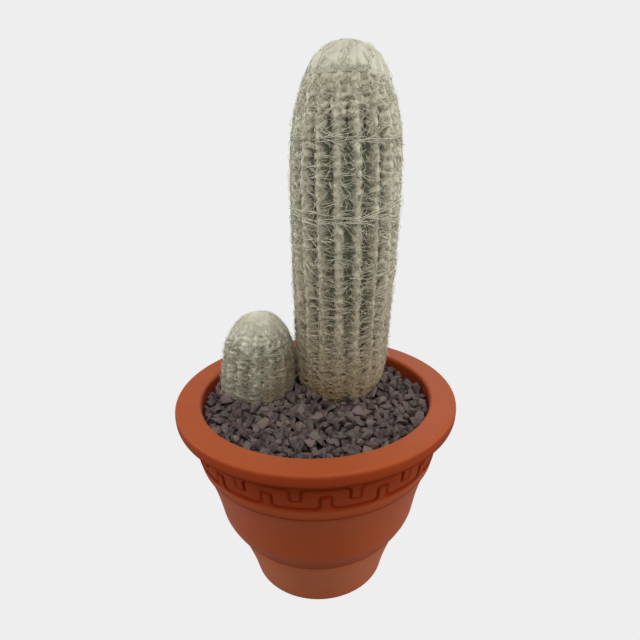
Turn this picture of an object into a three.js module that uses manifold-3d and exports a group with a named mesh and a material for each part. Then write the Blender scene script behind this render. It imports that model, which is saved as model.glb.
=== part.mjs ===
// A potted espostoa: a woolly columnar cactus with one young offset at its foot, in a round key-pattern
// pot filled with potting mix and topped with stone chippings.
// Millimetres, +Z up. The origin is the centre of the pot's base, on the surface that it stands on.
// +X points from the offset towards the column's side of the pot, and -Y towards the pot's open front.
import * as THREE from "three";
import { mergeVertices } from "three/addons/utils/BufferGeometryUtils.js";
import Module from "manifold-3d";

const wasm = await Module();
wasm.setup();

// Driving dimensions ------------------------------------------------------------------------------

const SEAT_GAP = 0.35; // between two pieces that touch
const WIDE_SEAT_GAP = 0.6; // between the chippings and what they lie against

const POT = {
  height: 147,
  rimRadius: 100,
  mouthRadius: 82,
  footRadius: 50,
  floor: 4,
  segments: 36,
};
const KEY = {
  repeats: 15, // of the meander round the band
  firstTurn: -87, // degrees, the turn of a bar that rises
  bottom: 111.5, // of the sunk channel
  top: 130.5,
  bottomRadius: 87.2, // of the band's face at the channel's edges
  topRadius: 90.3,
  depth: 1.2,
  edge: 0.6, // of the slope at the channel's edges
  barTurn: 4.6, // degrees
  barHeight: 11.5,
  barRoot: 1.6, // how far a bar runs into the wall behind the channel
};
const FOOT = { innerRadius: 41, recess: 1.5 }; // of the ring that the pot stands on
const DRAIN = { radius: 4, circle: 26, count: 4, sides: 10 };
const MIX_TOP = 132;
const GRAVEL = { top: 142, bed: 139.2, stone: 12.6, seed: 11 };

const COLUMN = {
  ribs: 18,
  phase: 4.7, // degrees, turns the ribs about the axis
  twist: -0.04, // degrees a millimetre of height
  x: 18.8,
  y: 27.1,
  height: 238.2,
  footRadius: 30.9,
  shoulder: 162, // where the dome begins
  shoulderRadius: 38.1,
  domePower: 2.3,
  lean: 7.4,
  leanOver: 127,
  rowPitch: 8.5,
  domeRows: 8,
  furrow: 5.1,
  wool: 2.2,
  capFrom: 224.5,
  hairBands: [132, 181],
  rootDepth: 62,
  swell: [
    [0, 30.9],
    [20, 34.5],
    [69, 36.3],
    [108, 37.8],
    [146, 38.6],
    [162, 38.1],
  ],
};
const OFFSET = {
  ribs: 15,
  phase: 4,
  twist: 0,
  x: -44.2,
  y: 23,
  height: 58.8,
  footRadius: 28,
  shoulder: 12,
  shoulderRadius: 28.4,
  domePower: 2,
  lean: 4.6,
  leanOver: 40,
  rowPitch: 5,
  domeRows: 5,
  furrow: 3,
  wool: 1.8,
  capFrom: 51,
  hairBands: [],
  rootDepth: 40,
  swell: [
    [0, 28],
    [12, 28.4],
  ],
};
const HAIR_BAND = { halfHeight: 2.2, thickness: 2.3 };
const SPINE = { length: 7, thickness: 1.1, sides: 3, seed: 5, every: 5 };
// Half the width of a rib's flat top, and of its wool at an areole, in radians about the axis.
const RIB = { crestTurn: 0.05, woolTurn: 0.105 };
const HOLE_SIDES = 24; // of the round holes that the plants stand in

// Finishes ----------------------------------------------------------------------------------------

const FINISH = {
  terracotta: new THREE.MeshStandardMaterial({ color: 0xb0623a, roughness: 0.62, metalness: 0 }),
  pottingMix: new THREE.MeshStandardMaterial({ color: 0x2b211a, roughness: 0.95, metalness: 0 }),
  chippings: new THREE.MeshStandardMaterial({ color: 0x6a5f61, roughness: 0.85, metalness: 0 }),
  flesh: new THREE.MeshStandardMaterial({ color: 0x55604a, roughness: 0.7, metalness: 0 }),
  wool: new THREE.MeshStandardMaterial({ color: 0xbdb9a2, roughness: 0.95, metalness: 0 }),
};

// Solids ------------------------------------------------------------------------------------------

/** A closed three.js geometry as a manifold solid. */
function solidOf(geometry) {
  const flat = geometry.index ? geometry.toNonIndexed() : geometry.clone();
  const bare = new THREE.BufferGeometry().setAttribute("position", flat.getAttribute("position"));
  const merged = mergeVertices(bare, 1e-4);
  return new wasm.Manifold(
    new wasm.Mesh({
      numProp: 3,
      vertProperties: merged.attributes.position.array,
      triVerts: new Uint32Array(merged.index.array),
    }),
  );
}

/** A manifold solid as a three.js geometry. */
function geometryOf(solid) {
  const mesh = solid.getMesh();
  const geometry = new THREE.BufferGeometry();
  geometry.setAttribute("position", new THREE.BufferAttribute(new Float32Array(mesh.vertProperties), 3));
  geometry.setIndex(new THREE.BufferAttribute(new Uint32Array(mesh.triVerts), 1));
  geometry.computeVertexNormals();
  return geometry;
}

/** The union of many solids, joined two by two so that the work stays even. */
function joinAll(solids) {
  let row = solids;
  while (row.length > 1) {
    const next = [];
    for (let i = 0; i < row.length; i += 2) next.push(i + 1 < row.length ? row[i].add(row[i + 1]) : row[i]);
    row = next;
  }
  return row[0];
}

/** The largest of a solid's separate bodies, which leaves out loose scraps. */
function largestBody(solid) {
  return solid.decompose().reduce((best, body) => (body.volume() > best.volume() ? body : best));
}

/** A solid turned round +Z from [radius, height] points that run anticlockwise round the section. */
function turned(points, segments) {
  const geometry = new THREE.LatheGeometry(
    points.map(([r, z]) => new THREE.Vector2(r, z)),
    segments,
  );
  geometry.rotateX(Math.PI / 2);
  return solidOf(geometry);
}

/** A closed skin over stacked rings that hold the same number of points each, lowest ring first. */
function stackedRings(rings) {
  const count = rings[0].length;
  const points = rings.flat();
  const triangles = [];
  const at = (ring, i) => ring * count + (i % count);
  for (let ring = 0; ring + 1 < rings.length; ring++) {
    for (let i = 0; i < count; i++) {
      triangles.push(at(ring, i), at(ring, i + 1), at(ring + 1, i + 1));
      triangles.push(at(ring, i), at(ring + 1, i + 1), at(ring + 1, i));
    }
  }
  const middle = (ring) =>
    ring.reduce((sum, p) => sum.add(p), new THREE.Vector3()).multiplyScalar(1 / ring.length);
  const top = rings.length - 1;
  points.push(middle(rings[0]), middle(rings[top]));
  const [lowMiddle, highMiddle] = [points.length - 2, points.length - 1];
  for (let i = 0; i < count; i++) {
    triangles.push(lowMiddle, at(0, i + 1), at(0, i));
    triangles.push(highMiddle, at(top, i), at(top, i + 1));
  }
  const geometry = new THREE.BufferGeometry().setFromPoints(points);
  geometry.setIndex(triangles);
  return solidOf(geometry);
}

/** A repeatable random draw from 0 to 1. */
function seededDraw(seed) {
  let state = seed >>> 0;
  return () => {
    state = (state + 0x6d2b79f5) >>> 0;
    let t = Math.imul(state ^ (state >>> 15), 1 | state);
    t = (t + Math.imul(t ^ (t >>> 7), 61 | t)) ^ t;
    return ((t ^ (t >>> 14)) >>> 0) / 4294967296;
  };
}

const radians = THREE.MathUtils.degToRad;

// Pot ---------------------------------------------------------------------------------------------

/** The pot's outer wall from the foot up to the key band, as [radius, height]. */
function potOuterWall() {
  return [
    [POT.footRadius - 1, 0],
    [POT.footRadius, 1.2],
    [54.8, 19],
    [60, 34],
    [62, 41],
    [68, 50],
    [72.2, 58],
    [74.2, 67],
    [80, 91],
    [82.8, 99.5],
    [85.4, 103.2],
    [KEY.bottomRadius - 0.2, KEY.bottom - KEY.edge],
  ];
}

/** The rounded lip, from its underside over the top to the mouth. */
function potLip() {
  return [
    [91.2, 133.6],
    [95.5, 134.5],
    [98.8, 137],
    [POT.rimRadius, 140.6],
    [99.8, 143.8],
    [98.6, 146.2],
    [96, POT.height],
    [POT.mouthRadius + 0.8, POT.height],
  ];
}

/** The inner wall from the mouth down to the floor, as [radius, height]. */
function potInnerWall() {
  return [
    [POT.mouthRadius, POT.height - 0.9],
    [POT.mouthRadius - 0.6, 120],
    [79.2, 99],
    [71, 67],
    [68.4, 58],
    [58.6, 41.5],
    [47.4, POT.floor],
  ];
}

/** The drain holes through the floor: one in the middle and a ring of others. */
function drainHoles() {
  const places = [[0, 0]];
  for (let i = 0; i < DRAIN.count; i++) {
    const turn = ((i + 0.5) / DRAIN.count) * 2 * Math.PI;
    places.push([DRAIN.circle * Math.cos(turn), DRAIN.circle * Math.sin(turn)]);
  }
  return places.map(([x, y]) => {
    const geometry = new THREE.CylinderGeometry(DRAIN.radius, DRAIN.radius, 3 * POT.floor, DRAIN.sides);
    geometry.rotateX(Math.PI / 2);
    geometry.translate(x, y, 0);
    return solidOf(geometry);
  });
}

/** The bars of the meander, which rise from the channel's lower edge and hang from its upper edge in turn. */
function keyBars() {
  const flare = (KEY.topRadius - KEY.bottomRadius) / (KEY.top - KEY.bottom);
  const bars = [];
  for (let i = 0; i < 2 * KEY.repeats; i++) {
    const rises = i % 2 === 0;
    const turn = radians(KEY.firstTurn + (i * 180) / KEY.repeats);
    const inset = KEY.barHeight / 2 - KEY.edge;
    const z = rises ? KEY.bottom + inset : KEY.top - inset;
    const face = KEY.bottomRadius + flare * (z - KEY.bottom) - 0.1;
    const depth = KEY.depth + KEY.barRoot;
    const width = 2 * face * Math.sin(radians(KEY.barTurn / 2));
    const geometry = new THREE.BoxGeometry(depth, width, KEY.barHeight);
    geometry.rotateY(Math.atan(flare));
    geometry.translate(face - depth / 2, 0, z);
    geometry.rotateZ(turn);
    bars.push(solidOf(geometry));
  }
  return bars;
}

function makePot() {
  const section = [
    [0, FOOT.recess],
    [FOOT.innerRadius - 1, FOOT.recess],
    [FOOT.innerRadius, 0],
    ...potOuterWall(),
    [KEY.bottomRadius + 0.2 - KEY.depth, KEY.bottom + KEY.edge],
    [KEY.topRadius - 0.2 - KEY.depth, KEY.top - KEY.edge],
    [KEY.topRadius, KEY.top + KEY.edge],
    ...potLip(),
    ...potInnerWall(),
    [0, POT.floor],
  ];
  const body = turned(section, POT.segments).add(joinAll(keyBars()));
  return body.subtract(joinAll(drainHoles()));
}

// Filling -----------------------------------------------------------------------------------------

/** The inner wall's radius at a height, by straight lines between its points. */
function mouthRadiusAt(z) {
  const wall = potInnerWall();
  for (let i = 0; i + 1 < wall.length; i++) {
    const [r0, z0] = wall[i];
    const [r1, z1] = wall[i + 1];
    if (z <= z0 && z >= z1) return r1 + ((r0 - r1) * (z - z1)) / (z0 - z1);
  }
  return POT.mouthRadius;
}

/** The buried taper of a plant as [radius, height], from its lowest point up, grown by a gap. */
function buriedTaper(plant, gap) {
  const foot = plant.footRadius - plant.wool;
  const low = GRAVEL.top - plant.rootDepth;
  return [
    [0, low - gap],
    [foot * 0.16 + gap, low - gap],
    [foot * 0.56 + gap, low + plant.rootDepth * 0.42],
    [foot + gap, low + plant.rootDepth * 0.86],
  ];
}

/** The plain hole in which a plant stands, open at the top. */
function plantHole(plant, gap, top) {
  const taper = buriedTaper(plant, gap);
  const foot = taper[taper.length - 1][0];
  return turned([...taper, [foot, top], [0, top]], HOLE_SIDES).translate([plant.x, plant.y, 0]);
}

function makePottingMix() {
  const wall = potInnerWall()
    .filter(([, z]) => z < MIX_TOP && z > POT.floor)
    .reverse()
    .map(([r, z]) => [r - SEAT_GAP, z]);
  const low = POT.floor + SEAT_GAP;
  const section = [
    [0, low],
    [mouthRadiusAt(low) - SEAT_GAP, low],
    ...wall,
    [mouthRadiusAt(MIX_TOP) - SEAT_GAP, MIX_TOP],
    [0, MIX_TOP],
  ];
  const holes = [COLUMN, OFFSET].map((plant) => plantHole(plant, SEAT_GAP, MIX_TOP + 5));
  return turned(section, POT.segments / 2).subtract(joinAll(holes));
}

/** One chipping: a rough block with its corners knocked about, seated on the bed. */
function chipping(draw, x, y, size) {
  const geometry = new THREE.BoxGeometry(1, 1, 1);
  const position = mergeVertices(
    new THREE.BufferGeometry().setAttribute("position", geometry.toNonIndexed().getAttribute("position")),
  );
  const corners = position.getAttribute("position");
  for (let i = 0; i < corners.count; i++) {
    corners.setXYZ(
      i,
      corners.getX(i) * size * (0.72 + 0.5 * draw()),
      corners.getY(i) * size * (0.55 + 0.45 * draw()),
      corners.getZ(i) * size * (0.62 + 0.4 * draw()),
    );
  }
  position.rotateX((draw() - 0.5) * 1.1);
  position.rotateY((draw() - 0.5) * 1.1);
  position.rotateZ(draw() * Math.PI);
  position.computeBoundingBox();
  const rise = GRAVEL.top + (draw() - 0.3) * 1.6 - position.boundingBox.max.z;
  position.translate(x, y, rise);
  return solidOf(position);
}

/** The hole in the chippings round a plant: close to the flesh below, and wider round the wool above. */
function gravelHole(plant, low) {
  const flesh = plant.footRadius - plant.wool + WIDE_SEAT_GAP;
  const wool = plant.footRadius + WIDE_SEAT_GAP;
  const step = GRAVEL.top - 1;
  const profile = [
    [0, low],
    [flesh, low],
    [flesh, step],
    [wool, step],
    [wool, GRAVEL.top + 6],
    [0, GRAVEL.top + 6],
  ];
  return turned(profile, HOLE_SIDES).translate([plant.x, plant.y, 0]);
}

function makeGravel() {
  const draw = seededDraw(GRAVEL.seed);
  const low = MIX_TOP + SEAT_GAP;
  const bedReach = mouthRadiusAt(low) - WIDE_SEAT_GAP;
  const layer = (top) =>
    turned(
      [
        [0, low],
        [bedReach, low],
        [mouthRadiusAt(GRAVEL.top) - WIDE_SEAT_GAP, top],
        [0, top],
      ],
      POT.segments,
    );
  const stones = [];
  const rowPitch = GRAVEL.stone * 0.87;
  const rows = Math.ceil(POT.mouthRadius / rowPitch);
  for (let row = -rows; row <= rows; row++) {
    for (let i = -rows; i <= rows; i++) {
      const size = GRAVEL.stone * (0.8 + 0.4 * draw());
      const x = (i + (row & 1) / 2 + (draw() - 0.5) * 0.4) * GRAVEL.stone;
      const y = (row + (draw() - 0.5) * 0.4) * rowPitch;
      const clear = [COLUMN, OFFSET].every(
        (plant) => Math.hypot(x - plant.x, y - plant.y) > plant.footRadius - 1,
      );
      if (clear && Math.hypot(x, y) < bedReach - 1) stones.push(chipping(draw, x, y, size));
    }
  }
  const holes = [COLUMN, OFFSET].map((plant) => gravelHole(plant, low - 5));
  const heaped = layer(GRAVEL.bed).add(joinAll(stones)).intersect(layer(GRAVEL.top + 4));
  return largestBody(heaped.subtract(joinAll(holes)));
}

// Plants ------------------------------------------------------------------------------------------

/** The radius over the wool at a height above the chippings. */
function outlineRadius(plant, h) {
  if (h > plant.shoulder) {
    const rise = Math.min(1, (h - plant.shoulder) / (plant.height - plant.shoulder));
    return plant.shoulderRadius * Math.sqrt(1 - rise ** plant.domePower);
  }
  const at = Math.max(0, h);
  const i = Math.max(
    0,
    plant.swell.findIndex(([top]) => at <= top) - 1,
  );
  const [h0, r0] = plant.swell[i];
  const [h1, r1] = plant.swell[i + 1];
  return r0 + ((r1 - r0) * (at - h0)) / (h1 - h0);
}

/** The flesh's crest radius at a height: the outline drawn in by the wool, with its own lower dome. */
function crestRadius(plant, h) {
  if (h <= plant.shoulder) return outlineRadius(plant, h) - plant.wool;
  const rise = (h - plant.shoulder) / (plant.height - plant.wool - plant.shoulder);
  return (plant.shoulderRadius - plant.wool) * Math.sqrt(Math.max(0, 1 - rise ** plant.domePower));
}

/** How deep the furrow is at a height: shallow at the corky foot, nothing at the tip. */
function furrowDepth(plant, h) {
  const nearFoot = THREE.MathUtils.smoothstep(h, -5, 45);
  return Math.min(plant.furrow * (0.45 + 0.55 * nearFoot), crestRadius(plant, h) * 0.24);
}

/** The axis, which leans a little, at a height above the chippings. */
function axisAt(plant, h) {
  const lean = plant.lean * (1 - Math.exp(-Math.max(0, h) / plant.leanOver));
  return new THREE.Vector3(plant.x + lean, plant.y, GRAVEL.top + h);
}

/** A point beside the axis. */
function beside(plant, h, turn, radius) {
  return axisAt(plant, h).add(new THREE.Vector3(radius * Math.cos(turn), radius * Math.sin(turn), 0));
}

/** The heights of the rows: even up the side, then closing over the dome. */
function rowHeights(plant) {
  const side = Math.round(plant.shoulder / plant.rowPitch);
  const heights = [];
  for (let i = 0; i <= side; i++) heights.push(0.6 + ((plant.shoulder - 0.6) * i) / side);
  const dome = plant.height - plant.wool - plant.shoulder;
  for (let i = 1; i < plant.domeRows; i++) {
    heights.push(plant.shoulder + dome * Math.sin((i / plant.domeRows) * (Math.PI / 2)));
  }
  return heights;
}

/** The turn of a rib's crest at a height, or of the furrow after it with a half. */
function ribTurn(plant, rib, h) {
  return radians(plant.phase + plant.twist * h) + (rib / plant.ribs) * 2 * Math.PI;
}

/** The flesh: flat-topped ribs with straight flanks, and a smooth taper where it is buried. */
function makeStem(plant) {
  const foot = plant.footRadius - plant.wool;
  const ringAt = (h, crest, furrow) => {
    const ring = [];
    for (let rib = 0; rib < plant.ribs; rib++) {
      const turn = ribTurn(plant, rib, h);
      ring.push(beside(plant, h, turn - RIB.crestTurn, crest));
      ring.push(beside(plant, h, turn + RIB.crestTurn, crest));
      ring.push(beside(plant, h, ribTurn(plant, rib + 0.5, h), furrow));
    }
    return ring;
  };
  const rings = buriedTaper(plant, 0)
    .slice(1)
    .map(([r, z]) => ringAt(z - GRAVEL.top, r, r));
  rings.push(ringAt(-3, foot, foot - 1));
  const fleshRows = rowHeights(plant).filter((h, row) => row % 3 === 0 || h >= plant.shoulder);
  for (const h of fleshRows) {
    const crest = crestRadius(plant, h);
    rings.push(ringAt(h, crest, crest - furrowDepth(plant, h)));
  }
  return stackedRings(rings);
}

/** The direction straight out of a crest, which tips up over the dome. */
function outwardAt(plant, h, turn) {
  const step = 0.5;
  const slope = (crestRadius(plant, h - step) - crestRadius(plant, h + step)) / (2 * step);
  return new THREE.Vector3(Math.cos(turn), Math.sin(turn), slope).normalize();
}

/** The strip of wool along one rib's crest, wide and swollen at each areole. */
function woolStrip(plant, rib) {
  const rows = rowHeights(plant).filter((h) => h < plant.capFrom + plant.rowPitch);
  const rings = rows.map((h, row) => {
    const crestTurn = ribTurn(plant, rib, h);
    const areole = (row + rib) % 2 === 0;
    const crest = crestRadius(plant, h);
    const outward = outwardAt(plant, h, crestTurn);
    const spread = areole ? RIB.woolTurn : RIB.crestTurn * 1.15;
    const side = (way) =>
      beside(plant, h, crestTurn + way * spread, crest / Math.cos(spread)).addScaledVector(outward, SEAT_GAP);
    const over = beside(plant, h, crestTurn, crest);
    over.addScaledVector(outward, areole ? plant.wool : plant.wool * 0.5);
    return [side(-1), over, side(1)];
  });
  return stackedRings(rings);
}

/** The dense cap of new wool over the tip, which joins the strips. */
function woolCap(plant) {
  const steps = 4;
  const riseOf = (i) => Math.sin((i / steps) * (Math.PI / 2));
  const outer = [];
  const inner = [];
  for (let i = 0; i <= steps; i++) {
    const h = plant.capFrom + (plant.height - plant.capFrom) * riseOf(i);
    const under = plant.capFrom + (plant.height - plant.wool - plant.capFrom) * riseOf(i);
    outer.push([outlineRadius(plant, h) + (i < steps ? 0.5 : 0), GRAVEL.top + h]);
    inner.unshift([i < steps ? crestRadius(plant, under) + 0.8 : 0, GRAVEL.top + under + 0.6]);
  }
  const lean = axisAt(plant, plant.capFrom);
  return turned([...outer, ...inner, outer[0]], plant.ribs).translate([lean.x, lean.y, 0]);
}

/** A band of long hairs round the plant, stretched from crest to crest. */
function hairBand(plant, h) {
  const inside = crestRadius(plant, h) + SEAT_GAP * 2;
  const z = GRAVEL.top + h;
  const profile = [
    [inside, z - HAIR_BAND.halfHeight],
    [inside + HAIR_BAND.thickness, z],
    [inside, z + HAIR_BAND.halfHeight],
    [inside, z - HAIR_BAND.halfHeight],
  ];
  const lean = axisAt(plant, h);
  return turned(profile, plant.ribs)
    .rotate([0, 0, plant.phase + plant.twist * h + 90])
    .translate([lean.x, lean.y, 0]);
}

/** Whether a spine's point is clear of the chippings and the pot, and on its own plant's side. */
function isClear(plant, point) {
  const other = plant === COLUMN ? OFFSET : COLUMN;
  const h = point.z - GRAVEL.top;
  const off = (cactus) => Math.hypot(point.x - cactus.x, point.y - cactus.y) - outlineRadius(cactus, h);
  const inMouth = Math.hypot(point.x, point.y) < POT.mouthRadius - 2 || point.z > POT.height + 2;
  return h > 4 && inMouth && off(other) > off(plant) + 1;
}

/** Spines that stand out of some of the areoles, fanned by turns to either side. */
function spines(plant, draw) {
  const made = [];
  rowHeights(plant).forEach((h, row) => {
    for (let rib = 0; rib < plant.ribs; rib++) {
      if ((row + rib) % 2 || (row + 2 * rib) % SPINE.every || h > plant.capFrom - 4) continue;
      const turn = ribTurn(plant, rib, h);
      const sideways = new THREE.Vector3(-Math.sin(turn), Math.cos(turn), 0);
      const way = outwardAt(plant, h, turn)
        .multiplyScalar(0.8)
        .addScaledVector(sideways, (draw() - 0.5) * 1.8)
        .addScaledVector(new THREE.Vector3(0, 0, 1), (draw() - 0.6) * 1.1)
        .normalize();
      const root = beside(plant, h, turn, crestRadius(plant, h));
      root.addScaledVector(outwardAt(plant, h, turn), plant.wool * 0.7);
      if (!isClear(plant, root.clone().addScaledVector(way, SPINE.length))) continue;
      const geometry = new THREE.ConeGeometry(SPINE.thickness / 2, SPINE.length, SPINE.sides);
      geometry.translate(0, SPINE.length / 2 - 0.4, 0);
      geometry.applyQuaternion(new THREE.Quaternion().setFromUnitVectors(new THREE.Vector3(0, 1, 0), way));
      geometry.translate(root.x, root.y, root.z);
      made.push(solidOf(geometry));
    }
  });
  return made;
}

function makeWool(plant, draw) {
  const pieces = [];
  for (let rib = 0; rib < plant.ribs; rib++) pieces.push(woolStrip(plant, rib));
  for (const h of plant.hairBands) pieces.push(hairBand(plant, h));
  pieces.push(woolCap(plant));
  return largestBody(joinAll([...pieces, ...spines(plant, draw)]));
}

// The part ----------------------------------------------------------------------------------------

const part = new THREE.Group();

/** Adds a solid to the part as a named mesh. */
function place(name, solid, material) {
  const mesh = new THREE.Mesh(geometryOf(solid), material);
  mesh.name = name;
  part.add(mesh);
}

const draw = seededDraw(SPINE.seed);
place("pot", makePot(), FINISH.terracotta);
place("potting_mix", makePottingMix(), FINISH.pottingMix);
place("gravel", makeGravel(), FINISH.chippings);
place("column_stem", makeStem(COLUMN), FINISH.flesh);
place("column_wool", makeWool(COLUMN, draw), FINISH.wool);
place("offset_stem", makeStem(OFFSET), FINISH.flesh);
place("offset_wool", makeWool(OFFSET, draw), FINISH.wool);

export default part;
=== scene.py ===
"""The looks of a potted espostoa: a woolly column and its offset, in a pot with a key band and chippings."""

import logging
import math
from collections.abc import Callable
from dataclasses import dataclass, field, replace
from enum import Enum
from functools import partial

import bmesh
import bpy
import numpy as np
from mathutils import Matrix, Vector


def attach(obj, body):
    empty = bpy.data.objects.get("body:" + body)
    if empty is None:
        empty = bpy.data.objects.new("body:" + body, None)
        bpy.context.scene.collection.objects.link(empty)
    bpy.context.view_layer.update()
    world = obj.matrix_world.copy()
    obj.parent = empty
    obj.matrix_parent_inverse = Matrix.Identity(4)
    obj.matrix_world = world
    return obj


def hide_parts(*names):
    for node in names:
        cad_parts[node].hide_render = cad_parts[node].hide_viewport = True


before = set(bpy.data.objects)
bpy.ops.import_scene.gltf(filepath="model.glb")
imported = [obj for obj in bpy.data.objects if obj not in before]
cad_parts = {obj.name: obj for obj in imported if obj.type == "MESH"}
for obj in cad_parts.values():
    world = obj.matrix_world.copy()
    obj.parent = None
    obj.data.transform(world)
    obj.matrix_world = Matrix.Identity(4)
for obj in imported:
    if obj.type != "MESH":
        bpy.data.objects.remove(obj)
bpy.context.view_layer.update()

LOG = logging.getLogger("potted_espostoa")
MM = 0.001
BODY = "root"
FULL_TURN = 2 * math.pi

Colour = tuple[float, float, float]
Point = tuple[float, float]
Place = tuple[float, float, float]
Array = np.ndarray
Draw = np.random.Generator
Piece = bpy.types.Object
Material = bpy.types.Material
Tree = bpy.types.NodeTree
Node = bpy.types.Node
Socket = bpy.types.NodeSocket
Rule = Callable[[Draw, int], Array]  # draws a number for each hair


# Small helpers


def tint(*levels: int) -> Colour:
    """Turns a screen colour, 0 to 255 a channel, into a linear one."""
    shares = [level / 255 for level in levels]
    return tuple(share / 12.92 if share <= 0.04045 else ((share + 0.055) / 1.055) ** 2.4 for share in shares)


def smooth_step(values: Array, low: float, high: float) -> Array:
    """Rises smoothly from 0 at low to 1 at high."""
    share = np.clip((values - low) / (high - low), 0.0, 1.0)
    return share * share * (3 - 2 * share)


def soft_noise(points: Array, scale: float, seed: int) -> Array:
    """Makes a smooth repeatable noise from sine waves in random directions.

    Args:
        points: places, in millimetres, one a row.
        scale: the size of a bump, in millimetres.
        seed: of the random directions.

    Returns:
        One value a point, about -1 to 1.
    """
    draw = np.random.default_rng(seed)
    total = np.zeros(len(points))
    waves = 14
    for _ in range(waves):
        way = draw.normal(size=3)
        way /= np.linalg.norm(way) * scale * draw.uniform(0.6, 1.5)
        total += np.sin(points @ way * math.pi + draw.uniform(0, FULL_TURN))
    return total / math.sqrt(waves / 2) / 2


class Skin(Enum):
    """How a mesh is shaded."""

    SMOOTH = True
    FLAT = False


def add_layer(piece: Piece, name: str, values: Array) -> None:
    """Gives each point of a piece a number that its material can read."""
    layer = piece.data.attributes.new(name, "FLOAT", "POINT")
    layer.data.foreach_set("value", values.astype(np.float32))


def make_piece(name: str, points: Array, faces: list[Array], skin: Skin, **layers: Array) -> Piece:
    """Makes a mesh object and links it to the scene.

    Args:
        name: of the piece.
        points: one a row, in millimetres.
        faces: arrays of point numbers, each with one face a row.
        skin: smooth or flat.
        layers: numbers for the material to read, one a point.

    Returns:
        The new object.
    """
    mesh = bpy.data.meshes.new(name)
    loops = np.concatenate([rows.ravel() for rows in faces]).astype(np.int32)
    sizes = np.concatenate([np.full(len(rows), rows.shape[1]) for rows in faces])
    starts = np.concatenate([[0], np.cumsum(sizes)[:-1]]).astype(np.int32)
    mesh.vertices.add(len(points))
    mesh.vertices.foreach_set("co", (points * MM).astype(np.float32).ravel())
    mesh.loops.add(len(loops))
    mesh.loops.foreach_set("vertex_index", loops)
    mesh.polygons.add(len(sizes))
    mesh.polygons.foreach_set("loop_start", starts)
    mesh.polygons.foreach_set("use_smooth", np.full(len(sizes), skin.value))
    mesh.update(calc_edges=True)
    mesh.validate()
    piece = bpy.data.objects.new(name, mesh)
    bpy.context.scene.collection.objects.link(piece)
    for layer, values in layers.items():
        add_layer(piece, layer, values)
    return piece


def dress(piece: Piece, material: Material, slot: str, *nodes: str) -> None:
    """Puts a finished piece on the object's body, in its finish.

    Args:
        piece: the mesh object.
        material: its finish.
        slot: the record's material slot, not used.
        nodes: the plain solids that it replaces.
    """
    piece.data.materials.clear()
    piece.data.materials.append(material)
    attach(piece, BODY)
    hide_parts(*nodes)
    LOG.info("%s: %d points, %d faces", piece.name, len(piece.data.vertices), len(piece.data.polygons))


def turns(columns: int) -> Array:
    """Even turns round the axis, in radians."""
    return np.arange(columns) * FULL_TURN / columns


def rings(radius: Array, height: Array, columns: int) -> Array:
    """The points of rings round the axis, ring by ring.

    Args:
        radius: of each ring or point, one ring a row.
        height: of each ring, one a row.
        columns: points in a ring.

    Returns:
        The points, one a row.
    """
    turn = turns(columns)
    x, y = radius * np.cos(turn), radius * np.sin(turn)
    return np.stack([x, y, np.broadcast_to(height, x.shape)], -1).reshape(-1, 3)


def around(columns: int) -> tuple[Array, Array]:
    """The numbers of a ring's points, and of the point after each."""
    here = np.arange(columns)
    return here, (here + 1) % columns


def ring_faces(rows: int, columns: int) -> Array:
    """The four-sided faces between rings of points.

    Args:
        rows: how many rings.
        columns: points in each.

    Returns:
        One face a row, turning anticlockwise seen from outside when the rings rise.
    """
    here, after = around(columns)
    low = np.arange(rows - 1)[:, None] * columns
    high = low + columns
    return np.stack([low + here, low + after, high + after, high + here], -1).reshape(-1, 4)


def fan(pole: int, ring: int, columns: int, rising: bool) -> Array:
    """The three-sided faces between a ring and a pole.

    Args:
        pole: the pole's number.
        ring: the number of the ring's first point.
        columns: points in the ring.
        rising: whether the pole stands over the ring.

    Returns:
        One face a row.
    """
    here, after = around(columns)
    sides = (here, after) if rising else (after, here)
    return np.column_stack([np.full(columns, pole), ring + sides[0], ring + sides[1]])


def disc(radius: float, low: float, high: float, sides: int) -> tuple[Array, list[Array]]:
    """A round plate about the axis.

    Args:
        radius: of the plate.
        low: the height of its underside.
        high: the height of its top.
        sides: round its edge.

    Returns:
        Its points and its faces.
    """
    edge = np.arange(sides)[None]
    faces = [ring_faces(2, sides), edge[:, ::-1], edge + sides]
    return rings(np.full((2, 1), radius), np.array([[low], [high]]), sides), faces


def spline(points: list[Point], steps: int) -> list[Point]:
    """A smooth line through points, by Catmull and Rom's rule.

    Args:
        points: to pass through.
        steps: in each stretch.

    Returns:
        The finer line.
    """
    ends = [points[0], *points, points[-1]]
    line: list[Point] = []
    for i in range(1, len(ends) - 2):
        before, start, end, after = (np.array(ends[i + k]) for k in (-1, 0, 1, 2))
        for step in range(steps):
            t = step / steps
            bend = 2 * before - 5 * start + 4 * end - after
            turn = 3 * start - before - 3 * end + after
            place = start + 0.5 * t * (end - before + t * (bend + t * turn))
            line.append((float(place[0]), float(place[1])))
    return [*line, points[-1]]


# Shader boards and shared effects


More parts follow.
